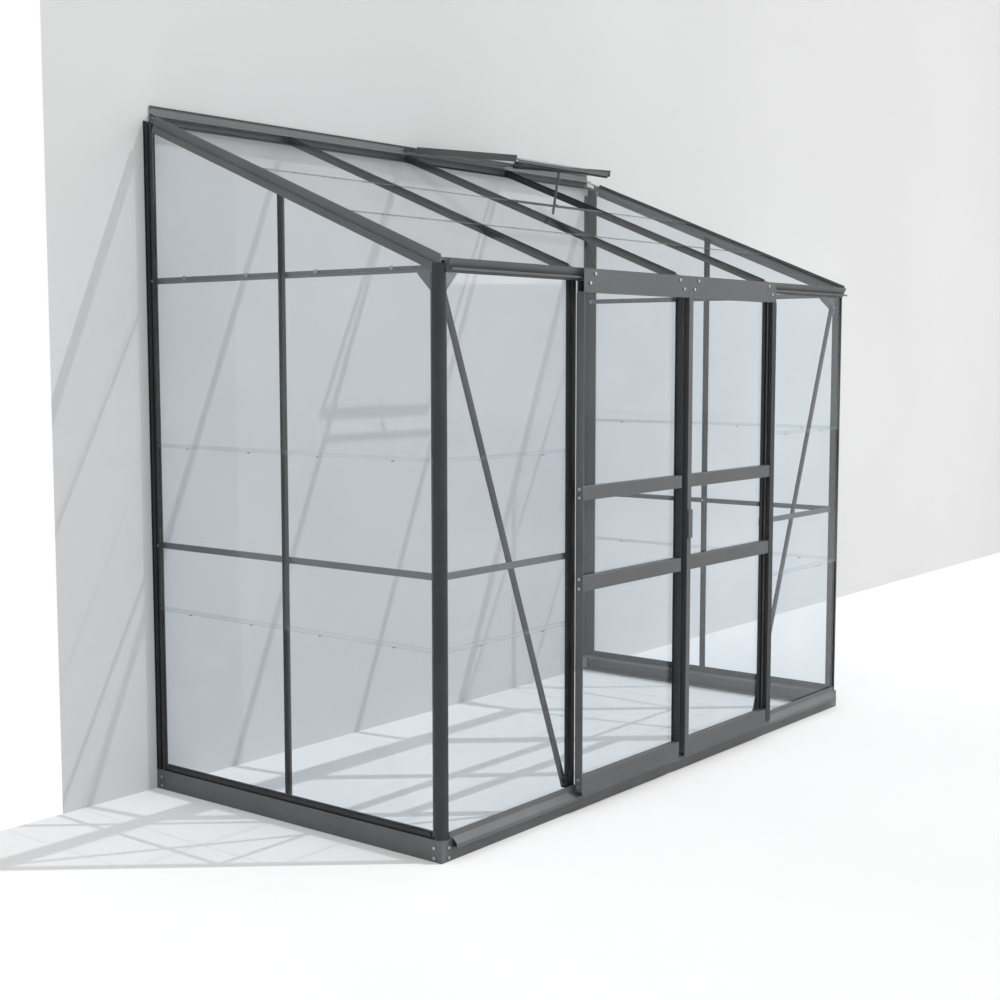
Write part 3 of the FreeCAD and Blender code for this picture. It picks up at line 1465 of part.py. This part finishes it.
side_low = "(-vent_side_height / 2)"
side_section = [
    ("0", side_low),
    ("vent_side_lip", side_low),
    ("vent_side_lip", f"{side_low} + sheet"),
    ("sheet", f"{side_low} + sheet"),
    ("sheet", "-sheet"),
    ("vent_side_width", "-sheet"),
    ("vent_side_width", "0"),
    ("sheet", "0"),
    ("sheet", "vent_side_height / 2"),
    ("0", "vent_side_height / 2"),
]
side_run = "(vent_length - hinge_rail_run)"
vent_sides = []
for side, sign in (("left", 1), ("right", -1)):
    bar = profile(f"Vent side {side}", "y", [side_section if sign > 0 else flip(side_section)], side_run)
    x = vent_x if sign > 0 else f"({vent_x} + {vent_wide})"
    vent_sides.append(place_on_vent(bar, x, "-vent_length"))
group("vent_side_bars", vent_sides)

rail_low = "(-vent_rail_set - vent_rail_height)"
rail_back = "(-vent_length + vent_rail_depth)"
front_rail = profile("Vent front rail", "x", [[
    ("-vent_length", rail_low),
    (rail_back, rail_low),
    (rail_back, f"{rail_low} + sheet"),
    ("-vent_length + sheet", f"{rail_low} + sheet"),
    ("-vent_length + sheet", "-vent_rail_set - sheet"),
    (rail_back, "-vent_rail_set - sheet"),
    (rail_back, "-vent_rail_set"),
    ("-vent_length", "-vent_rail_set"),
]], f"{vent_wide} - 2 * vent_side_width")
keep("vent_front_rail", place_on_vent(front_rail, f"{vent_x} + vent_side_width"))

# A rubber strip under the front rail closes the vent on its sill.
strip = profile("Vent strip", "x", [[
    ("-vent_length + sheet", f"{rail_low} - vent_seal_height"),
    (f"{rail_back} - sheet", f"{rail_low} - vent_seal_height"),
    (f"{rail_back} - sheet", rail_low),
    ("-vent_length + sheet", rail_low),
]], f"{vent_wide} - 2 * vent_side_width")
keep("vent_seal", place_on_vent(strip, f"{vent_x} + vent_side_width"))

pane_wide = f"({vent_wide} - 2 * sheet - 2 * pane_gap)"
vent_pane = slab("Vent pane", pane_wide, "vent_length - hinge_rail_seat", "glass_sheet")
keep("vent_glass", place_on_vent(vent_pane, f"{vent_x} + sheet + pane_gap", "-vent_length"))

stay_x = f"({vent_x} + {vent_wide} / 2)"
cheek = [
    (rail_back, "-cheek_top"),
    (rail_back, "-cheek_bottom"),
    (f"-{stay_radius} + cheek_half", "-cheek_bottom"),
    (f"-{stay_radius} + cheek_half", "-cheek_top"),
]
cheeks = []
cheek_in = "(stay_sheet / 2 + stay_gap)"
for offset in (f"-{cheek_in} - sheet", cheek_in):
    plate_side = profile("Cheek", "x", [cheek], "sheet")
    cheeks.append(place_on_vent(plate_side, f"{stay_x} + ({offset})"))
stay_pin = rod("Stay pin", "pin_radius", f"2 * {cheek_in} + 2 * sheet")
stay_y = f"({hinge_y} - {stay_radius} * cos(vent_rest) + stay_drop * sin(vent_rest))"
stay_z = f"({hinge_level} - {stay_radius} * sin(vent_rest) - stay_drop * cos(vent_rest))"
aim(stay_pin, f"{stay_x} - {cheek_in} - sheet", stay_y, stay_z, "+x")
bracket = doc.addObject("Part::MultiFuse", "Stay bracket")
bracket.Shapes = cheeks + [stay_pin]
keep("vent_stay_bracket", bracket)

arm = profile("Stay arm", "x", [[
    ("-stay_width / 2", "stay_width / 2"),
    ("stay_width / 2", "stay_width / 2"),
    ("stay_width / 2 + stay_bow", "-stay_length / 2"),
    ("stay_width / 2", "-stay_length"),
    ("-stay_width / 2", "-stay_length"),
    ("-stay_width / 2 + stay_bow", "-stay_length / 2"),
]], "stay_sheet")
arm_hole = rod("Arm hole", "pin_radius + running_ease", "2 * stay_sheet")
aim(arm_hole, f"{stay_x} - stay_sheet", stay_y, stay_z, "+x")
place(arm, f"{stay_x} - stay_sheet / 2", stay_y, stay_z, (1, 0, 0), "stay_lean")
arm_cut = doc.addObject("Part::Cut", "Drilled arm")
arm_cut.Base = arm
arm_cut.Tool = arm_hole
keep("vent_stay_arm", arm_cut)

# Drilling, checking and writing.

for label, bits in drills.items():
    tool = bits[0]
    if len(bits) > 1:
        tool = doc.addObject("Part::Compound", "Drills")
        tool.Links = bits
    cut = doc.addObject("Part::Cut", "Drilled")
    cut.Base = nodes[label]
    cut.Tool = tool
    nodes[label] = cut

pairs = {
    "base_side_rails": ["base_side_rail_left", "base_side_rail_right"],
    "base_corner_angles": angles,
    "side_eave_rails": ["side_eave_rail_left", "side_eave_rail_right"],
    "side_waist_rails": ["side_waist_rail_left", "side_waist_rail_right"],
    "front_waist_rails": ["front_waist_rail_left", "front_waist_rail_right"],
    "gusset_plates": gussets,
    "corner_braces": braces,
}
for label, members in pairs.items():
    group(label, [nodes.pop(member) for member in members])

for label, item in nodes.items():
    for other in doc.Objects:
        if other.Label == label and other is not item:
            other.Label = label + " blank"
    item.Label = label
doc.recompute()

for item in doc.Objects:
    for state in item.State:
        if state in ("Invalid", "Error"):
            raise RuntimeError(f"{item.Label} is {state}")
for label, item in nodes.items():
    if item.Shape.isNull() or not item.Shape.isValid():
        raise RuntimeError(f"{label} has no valid shape")
for label, item in nodes.items():
    item.Shape.exportStep(f"parts/{label}.step")
print(f"{len(nodes)} nodes written")
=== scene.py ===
import json
import math

import bpy
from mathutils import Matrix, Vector

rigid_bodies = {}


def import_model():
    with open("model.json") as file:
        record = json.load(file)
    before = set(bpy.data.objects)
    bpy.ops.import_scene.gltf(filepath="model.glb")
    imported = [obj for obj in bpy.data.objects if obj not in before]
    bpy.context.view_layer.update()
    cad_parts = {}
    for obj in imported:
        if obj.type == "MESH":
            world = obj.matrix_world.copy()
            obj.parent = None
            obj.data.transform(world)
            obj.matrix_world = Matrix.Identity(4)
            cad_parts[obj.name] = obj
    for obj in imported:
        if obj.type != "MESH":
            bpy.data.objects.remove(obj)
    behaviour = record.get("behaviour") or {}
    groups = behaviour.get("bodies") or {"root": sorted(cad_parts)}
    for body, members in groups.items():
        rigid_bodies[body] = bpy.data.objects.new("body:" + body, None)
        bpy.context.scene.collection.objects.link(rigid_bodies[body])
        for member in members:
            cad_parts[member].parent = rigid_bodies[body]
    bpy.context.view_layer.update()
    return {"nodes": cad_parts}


for leftover in list(bpy.data.objects):  # the cube, lamp and camera of a new file
    bpy.data.objects.remove(leftover)

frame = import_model()
scene = bpy.context.scene
nodes = frame["nodes"]
print("frame loaded:", len(nodes), "parts")


# sRGB hex text to the linear colour that shaders work in
def linearFromHex(text):
    channels = [int(text[start:start + 2], 16) / 255 for start in (1, 3, 5)]
    return (*[c / 12.92 if c <= 0.04045 else ((c + 0.055) / 1.055) ** 2.4 for c in channels], 1)


# one shader node: settings are input values or properties, links are input: (node, output)
def addNode(tree, kind, settings=None, links=None):
    node = tree.nodes.new(kind)
    for key, value in (settings or {}).items():
        if isinstance(key, str) and hasattr(node, key):
            setattr(node, key, value)
        else:
            node.inputs[key].default_value = value
    for key, (source, output) in (links or {}).items():
        tree.links.new(source.outputs[output], node.inputs[key])
    return node


def newMaterial(name):
    material = bpy.data.materials.new(name)
    material.use_nodes = True
    material.node_tree.nodes.clear()
    return material, material.node_tree


# a colour ramp's own stops: one hex colour at each position
def setStops(ramp, positions, colours):
    bar = ramp.color_ramp
    while len(bar.elements) > len(colours):
        bar.elements.remove(bar.elements[-1])
    while len(bar.elements) < len(colours):
        bar.elements.new(1)
    for element, position, colour in zip(bar.elements, positions, colours):
        element.position = position
        element.color = linearFromHex(colour)


# settings of a map range node that lays one pair of values over another
def fromTo(source, target):
    return {"From Min": source[0], "From Max": source[1], "To Min": target[0], "To Max": target[1]}


# Powder coated aluminium: a satin grey skin baked on. A fine orange peel breaks up the highlights
# near by, and patches of settled dust keep the long bars from looking flat.
coat = {
    "grainMm": 6,  # the real peel is about 1 mm, drawn coarser so that it shows
    "dustMm": 180,  # width of the paler patches
    "grainShare": 0.28,  # how much the peel tints the skin beside the dust
    "colourStops": (0.35, 0.62, 0.9),  # noise values that get the three colours
    "glossStops": (0.3, 0.75),  # noise values of clean and dusty skin
    "roughness": (0.42, 0.56),  # clean, dusty
    "peelStrength": 0.18,
    "peelDepth": 0.0006,  # metres
}


def powderCoat(name, colours, specular=0.5):
    material, tree = newMaterial(name)
    place = addNode(tree, "ShaderNodeTexCoord")
    dust = addNode(tree, "ShaderNodeTexNoise",
                   {"Scale": 1000 / coat["dustMm"], "Detail": 6, "Roughness": 0.62},
                   {"Vector": (place, "Object")})
    grain = addNode(tree, "ShaderNodeTexNoise",
                    {"Scale": 1000 / coat["grainMm"], "Detail": 3, "Roughness": 0.5},
                    {"Vector": (place, "Object")})
    both = addNode(tree, "ShaderNodeMath", {"operation": "MULTIPLY_ADD", 1: coat["grainShare"]},
                   {0: (grain, "Fac"), 2: (dust, "Fac")})
    tint = addNode(tree, "ShaderNodeValToRGB", links={"Fac": (both, 0)})
    setStops(tint, coat["colourStops"], colours)
    gloss = addNode(tree, "ShaderNodeMapRange", fromTo(coat["glossStops"], coat["roughness"]),
                    {"Value": (dust, "Fac")})
    peel = addNode(tree, "ShaderNodeBump",
                   {"Strength": coat["peelStrength"], "Distance": coat["peelDepth"]},
                   {"Height": (grain, "Fac")})
    skin = addNode(tree, "ShaderNodeBsdfPrincipled",
                   {"IOR": 1.5, "Metallic": 0, "Specular IOR Level": specular},
                   {"Base Color": (tint, "Color"), "Roughness": (gloss, "Result"),
                    "Normal": (peel, "Normal")})
    addNode(tree, "ShaderNodeOutputMaterial", links={"Surface": (skin, "BSDF")})
    return material


# Clear float glass: a cool tint, a mirror image that grows towards flat angles, and a grey cut
# edge, which draws the thin lines where one pane laps over the next.
glass = {
    "filmMm": 450,  # width of the patches of the faint dust film
    "tintStops": (0.3, 0.7),  # noise values that get the two tints
    "filmStops": (0.35, 0.7),  # noise values of wiped and filmed glass
    "filmRoughness": (0.01, 0.05),  # wiped, filmed
    "mirrorColour": "#f4f7f9",
    "straightMirror": 0.04,  # share of the mirror image where a face is seen straight on
    "mirrorPower": 5,  # how late that share grows towards flat angles
    "cutColour": "#858b8b",
    "cutRoughness": 0.25,
    "cutAlpha": 0.5,
    "steepest": 0.7,  # a normal with more than this upwards belongs to a top or an underside
}


def floatGlass(name, tints, sloping, mostMirror):
    material, tree = newMaterial(name)
    place = addNode(tree, "ShaderNodeTexCoord")
    film = addNode(tree, "ShaderNodeTexNoise",
                   {"Scale": 1000 / glass["filmMm"], "Detail": 5, "Roughness": 0.6},
                   {"Vector": (place, "Object")})
    tint = addNode(tree, "ShaderNodeValToRGB", links={"Fac": (film, "Fac")})
    setStops(tint, glass["tintStops"], tints)
    clear = addNode(tree, "ShaderNodeBsdfTransparent", links={"Color": (tint, "Color")})
    smear = addNode(tree, "ShaderNodeMapRange", fromTo(glass["filmStops"], glass["filmRoughness"]),
                    {"Value": (film, "Fac")})
    mirror = addNode(tree, "ShaderNodeBsdfGlossy", {"Color": linearFromHex(glass["mirrorColour"])},
                     {"Roughness": (smear, "Result")})
    slant = addNode(tree, "ShaderNodeLayerWeight", {"Blend": 0.5})
    grazing = addNode(tree, "ShaderNodeMath", {"operation": "POWER", 1: glass["mirrorPower"]},
                      {0: (slant, "Facing")})
    share = addNode(tree, "ShaderNodeMapRange",
                    fromTo((0, 1), (glass["straightMirror"], mostMirror)), {"Value": (grazing, 0)})
    face = addNode(tree, "ShaderNodeMixShader",
                   links={0: (share, "Result"), 1: (clear, "BSDF"), 2: (mirror, "BSDF")})
    cut = addNode(tree, "ShaderNodeBsdfPrincipled",
                  {"IOR": 1.5, "Metallic": 0, "Roughness": glass["cutRoughness"],
                   "Alpha": glass["cutAlpha"], "Base Color": linearFromHex(glass["cutColour"])})
    # the cut edges are the tops and undersides of upright panes, and all sides of sloping ones
    normal = addNode(tree, "ShaderNodeSeparateXYZ", links={0: (place, "Normal")})
    upward = addNode(tree, "ShaderNodeMath", {"operation": "ABSOLUTE"}, {0: (normal, "Z")})
    isCut = addNode(tree, "ShaderNodeMath",
                    {"operation": "LESS_THAN" if sloping else "GREATER_THAN", 1: glass["steepest"]},
                    {0: (upward, 0)})
    pane = addNode(tree, "ShaderNodeMixShader",
                   links={0: (isCut, 0), 1: (face, "Shader"), 2: (cut, "BSDF")})
    addNode(tree, "ShaderNodeOutputMaterial", links={"Surface": (pane, "Shader")})
    return material


# Extruded rubber: dull black with a greyer bloom where it has weathered.
rubber = {
    "bloomMm": 40,  # width of the weathered patches
    "grainMm": 2.5,
    "colours": ("#131516", "#232628"),  # fresh, weathered
    "colourStops": (0.35, 0.7),  # noise values that get the two colours
    "glossStops": (0.3, 0.7),
    "roughness": (0.62, 0.82),
    "grainStrength": 0.25,
    "grainDepth": 0.0004,  # metres
}


def extrudedRubber():
    material, tree = newMaterial("rubber_extruded_black")
    place = addNode(tree, "ShaderNodeTexCoord")
    bloom = addNode(tree, "ShaderNodeTexNoise",
                    {"Scale": 1000 / rubber["bloomMm"], "Detail": 5, "Roughness": 0.6},
                    {"Vector": (place, "Object")})
    tint = addNode(tree, "ShaderNodeValToRGB", links={"Fac": (bloom, "Fac")})
    setStops(tint, rubber["colourStops"], rubber["colours"])
    grain = addNode(tree, "ShaderNodeTexNoise", {"Scale": 1000 / rubber["grainMm"], "Detail": 2},
                    {"Vector": (place, "Object")})
    bump = addNode(tree, "ShaderNodeBump",
                   {"Strength": rubber["grainStrength"], "Distance": rubber["grainDepth"]},
                   {"Height": (grain, "Fac")})
    gloss = addNode(tree, "ShaderNodeMapRange", fromTo(rubber["glossStops"], rubber["roughness"]),
                    {"Value": (bloom, "Fac")})
    skin = addNode(tree, "ShaderNodeBsdfPrincipled", {"IOR": 1.52, "Metallic": 0},
                   {"Base Color": (tint, "Color"), "Roughness": (gloss, "Result"),
                    "Normal": (bump, "Normal")})
    addNode(tree, "ShaderNodeOutputMaterial", links={"Surface": (skin, "BSDF")})
    return material


# Moulded nylon for wheels and guides: black and waxy, with the fine texture of the mould.
nylon = {
    "textureMm": 1.82,
    "colours": ("#17191a", "#24282a"),
    "colourStops": (0.3, 0.75),  # noise values that get the two colours
    "glossStops": (0.3, 0.7),
    "roughness": (0.38, 0.5),
    "textureStrength": 0.2,
    "textureDepth": 0.0003,  # metres
}


def mouldedNylon():
    material, tree = newMaterial("nylon_moulded_black")
    place = addNode(tree, "ShaderNodeTexCoord")
    texture = addNode(tree, "ShaderNodeTexNoise", {"Scale": 1000 / nylon["textureMm"], "Detail": 3},
                      {"Vector": (place, "Object")})
    tint = addNode(tree, "ShaderNodeValToRGB", links={"Fac": (texture, "Fac")})
    setStops(tint, nylon["colourStops"], nylon["colours"])
    bump = addNode(tree, "ShaderNodeBump",
                   {"Strength": nylon["textureStrength"], "Distance": nylon["textureDepth"]},
                   {"Height": (texture, "Fac")})
    gloss = addNode(tree, "ShaderNodeMapRange", fromTo(nylon["glossStops"], nylon["roughness"]),
                    {"Value": (texture, "Fac")})
    skin = addNode(tree, "ShaderNodeBsdfPrincipled", {"IOR": 1.53, "Metallic": 0},
                   {"Base Color": (tint, "Color"), "Roughness": (gloss, "Result"),
                    "Normal": (bump, "Normal")})
    addNode(tree, "ShaderNodeOutputMaterial", links={"Surface": (skin, "BSDF")})
    return material


# Bare metals: zinc plated bolts with a soft spangle, and drawn spring steel with fine streaks.
bolts = {
    "grainMm": 4,  # the spangle
    "squash": (1, 1, 1),
    "colours": ("#a9abac", "#c4c6c6"),
    "roughness": (0.34, 0.5),
}
springs = {
    "grainMm": 2,
    "squash": (1, 1, 0.2),  # draws the grain out into upright streaks
    "colours": ("#8a8d8f", "#a3a6a8"),
    "roughness": (0.35, 0.5),
}
metal = {
    "stops": (0.3, 0.7),  # noise values that get the two colours and the two roughnesses
    "grainStrength": 0.12,
    "grainDepth": 0.0002,  # metres
}


def bareMetal(name, look):
    material, tree = newMaterial(name)
    place = addNode(tree, "ShaderNodeTexCoord")
    drawn = addNode(tree, "ShaderNodeMapping", {"Scale": look["squash"]},
                    {"Vector": (place, "Object")})
    grain = addNode(tree, "ShaderNodeTexNoise",
                    {"Scale": 1000 / look["grainMm"], "Detail": 4, "Roughness": 0.55},
                    {"Vector": (drawn, "Vector")})
    tint = addNode(tree, "ShaderNodeValToRGB", links={"Fac": (grain, "Fac")})
    setStops(tint, metal["stops"], look["colours"])
    gloss = addNode(tree, "ShaderNodeMapRange", fromTo(metal["stops"], look["roughness"]),
                    {"Value": (grain, "Fac")})
    bump = addNode(tree, "ShaderNodeBump",
                   {"Strength": metal["grainStrength"], "Distance": metal["grainDepth"]},
                   {"Height": (grain, "Fac")})
    skin = addNode(tree, "ShaderNodeBsdfPrincipled", {"Metallic": 1},
                   {"Base Color": (tint, "Color"), "Roughness": (gloss, "Result"),
                    "Normal": (bump, "Normal")})
    addNode(tree, "ShaderNodeOutputMaterial", links={"Surface": (skin, "BSDF")})
    return material


# One finish per material slot of the frame, plus paler and darker copies of the same grey coat that
# paint
# light and shade: painted light on the base and on the wall plate, which is the palest, and painted
# shade on the posts and bars, which are the darkest. The mirror of the roof glass is kept low, so
# that the bars under it stay dark.
finishes = {
    "frame_coating": powderCoat("aluminium_powder_coated_rails", ("#4e5051", "#565859", "#606263")),
    # the next two are paler copies of the same coat: painted light on the base and the wall plate
    "base": powderCoat("aluminium_powder_coated_base_painted_light", ("#535556", "#5c5e5f", "#66686a")),
    "plate": powderCoat("aluminium_powder_coated_plate_painted_light", ("#5f6162", "#686a6b", "#727475")),
    "door_coating": powderCoat("aluminium_powder_coated_doors", ("#47494a", "#4f5152", "#595b5c")),
    # a darker copy of the same coat: painted shade on the posts and bars
    "posts": powderCoat("aluminium_powder_coated_posts_painted_shade", ("#2d2f30", "#343637", "#3c3e3f"),
                        specular=0.25),
    "clear_glass": floatGlass("float_glass_upright", ("#fafcfd", "#f7f9fb"),
                              sloping=False, mostMirror=1),
    "roof_glass": floatGlass("float_glass_sloping", ("#fbfcfc", "#f8f9fa"),
                             sloping=True, mostMirror=0.08),
    "black_rubber": extrudedRubber(),
    "black_nylon": mouldedNylon(),
    "zinc_bolt": bareMetal("steel_zinc_plated", bolts),
    "spring_steel": bareMetal("spring_steel_drawn", springs),
}
# pieces that take the painted light and painted shade copies instead of their slot's own finish
ownFinish = {
    "posts": ("corner_post_left", "corner_post_right", "wall_post_left", "wall_post_right",
              "side_bars", "door_jamb_left", "door_jamb_right", "roof_bars",
              "right_door_outer_stile", "left_door_meeting_stile", "corner_braces", "vent_sill",
              "side_sills"),
    "base": ("base_front_rail", "base_side_rails", "front_track_sill", "side_eave_rails",
             "gusset_plates", "left_door_outer_stile"),
    "plate": ("wall_plate",),
    "roof_glass": ("roof_glass", "vent_glass"),
}
for label, part in nodes.items():
    own = next((finish for finish, labels in ownFinish.items() if label in labels), None)
    for slot in part.material_slots:
        slot.material = finishes[own or slot.material.name.split(".")[0]]
print("finishes set:", len(finishes))

# Room: a white floor and the pale wall that the greenhouse leans on. The floor stops at the wall,
# so that no shadow falls behind it.
room = {
    "floorColours": ("#f7f7f7", "#fbfbfb"),
    "wallColours": ("#dcdcdc", "#e1e1e1"),
    "patchMm": 1667,  # width of the faint uneven patches in the paint
    "patchStops": (0.3, 0.7),  # noise values that get the two colours
    "roughness": 0.5,
    "wallFace": 0.6655,  # metres, like those below; just behind the frame's back
    "wallLeft": -1.67,  # the wall ends here, 0.38 left of the frame
    "wallHeight": 12,
    "width": 60,
}


def roomPlane(name, corners, material):
    mesh = bpy.data.meshes.new(name)
    mesh.from_pydata(corners, [], [(0, 1, 2, 3)])
    mesh.materials.append(material)
    plane = bpy.data.objects.new(name, mesh)
    scene.collection.objects.link(plane)


# Matt paint; a wall that is clear from its back lets the greenhouse show from behind too.
def roomPaint(name, colours, clearBehind):
    material, tree = newMaterial(name)
    place = addNode(tree, "ShaderNodeTexCoord")
    patches = addNode(tree, "ShaderNodeTexNoise", {"Scale": 1000 / room["patchMm"], "Detail": 4},
                      {"Vector": (place, "Object")})
    tint = addNode(tree, "ShaderNodeValToRGB", links={"Fac": (patches, "Fac")})
    setStops(tint, room["patchStops"], colours)
    paint = addNode(tree, "ShaderNodeBsdfDiffuse", {"Roughness": room["roughness"]},
                    {"Color": (tint, "Color")})
    surface = (paint, "BSDF")
    if clearBehind:
        side = addNode(tree, "ShaderNodeNewGeometry")
        clear = addNode(tree, "ShaderNodeBsdfTransparent")
        mix = addNode(tree, "ShaderNodeMixShader",
                      links={0: (side, "Backfacing"), 1: (paint, "BSDF"), 2: (clear, "BSDF")})
        surface = (mix, "Shader")
    addNode(tree, "ShaderNodeOutputMaterial", links={"Surface": surface})
    return material


half = room["width"] / 2
face, left, top = room["wallFace"], room["wallLeft"], room["wallHeight"]
roomPlane("floor", [(-half, -half, 0), (half, -half, 0), (half, face, 0), (-half, face, 0)],
          roomPaint("floor_painted_white", room["floorColours"], clearBehind=False))
roomPlane("wall", [(left, face, 0), (half, face, 0), (half, face, top), (left, face, top)],
          roomPaint("wall_painted_pale", room["wallColours"], clearBehind=True))
print("room set")

# Light: a high sun from the front right, a large soft lamp near it and an even sky.
light = {
    "sunTravels": (-0.875, 1.0, -1.72),
    "sunStrength": 1.45,
    "sunSpread": 0.5,  # degrees, which softens the shadows
    "skyStrength": 0.69,  # as light; where it is seen it is plain white
    "softPower": 120,  # watts
    "softPlace": (4.5, -6.5, 4.5),
    "softSize": 5,
    "softAim": (0, 0, 1),
}
sun = bpy.data.objects.new("sun", bpy.data.lights.new("sun", "SUN"))
sun.data.energy = light["sunStrength"]
sun.data.angle = math.radians(light["sunSpread"])
sun.rotation_euler = Vector(light["sunTravels"]).to_track_quat("-Z", "Y").to_euler()
scene.collection.objects.link(sun)
soft = bpy.data.objects.new("softLamp", bpy.data.lights.new("softLamp", "AREA"))
soft.data.energy = light["softPower"]
soft.data.size = light["softSize"]
soft.location = light["softPlace"]
aim = Vector(light["softAim"]) - soft.location
soft.rotation_euler = aim.to_track_quat("-Z", "Y").to_euler()
scene.collection.objects.link(soft)

sky = bpy.data.worlds.new("sky")
scene.world = sky
sky.use_nodes = True
sky.node_tree.nodes.clear()
path = addNode(sky.node_tree, "ShaderNodeLightPath")
seen = addNode(sky.node_tree, "ShaderNodeMath", {"operation": "MAXIMUM"},
               {0: (path, "Is Camera Ray"), 1: (path, "Is Glossy Ray")})
through = addNode(sky.node_tree, "ShaderNodeMath", {"operation": "MAXIMUM"},
                  {0: (seen, 0), 1: (path, "Is Transmission Ray")})
strength = addNode(sky.node_tree, "ShaderNodeMapRange", fromTo((0, 1), (light["skyStrength"], 1)),
                   {"Value": (through, 0)})
glow = addNode(sky.node_tree, "ShaderNodeBackground", {"Color": (1, 1, 1, 1)},
               {"Strength": (strength, "Result")})
addNode(sky.node_tree, "ShaderNodeOutputWorld", links={"Surface": (glow, "Background")})
scene.view_settings.view_transform = "Standard"
print("light set")

# Camera: at the photograph's place, found from the frame's own edges.
eye = {
    "place": (-4.57595, -3.43522, 1.47922),
    "pitch": 84.58,  # degrees, like roll and yaw
    "roll": 0.03,
    "yaw": -51.71,
    "lens": 54.84,  # millimetres, like the sensor
    "sensor": 36,
    "reach": 200,  # metres, past the far end of the room
}
camera = bpy.data.objects.new("camera", bpy.data.cameras.new("camera"))
camera.data.lens = eye["lens"]
camera.data.sensor_width = eye["sensor"]
camera.data.clip_end = eye["reach"]
camera.location = eye["place"]
camera.rotation_euler = [math.radians(eye[turn]) for turn in ("pitch", "roll", "yaw")]
scene.collection.objects.link(camera)
scene.camera = camera
print("camera set")
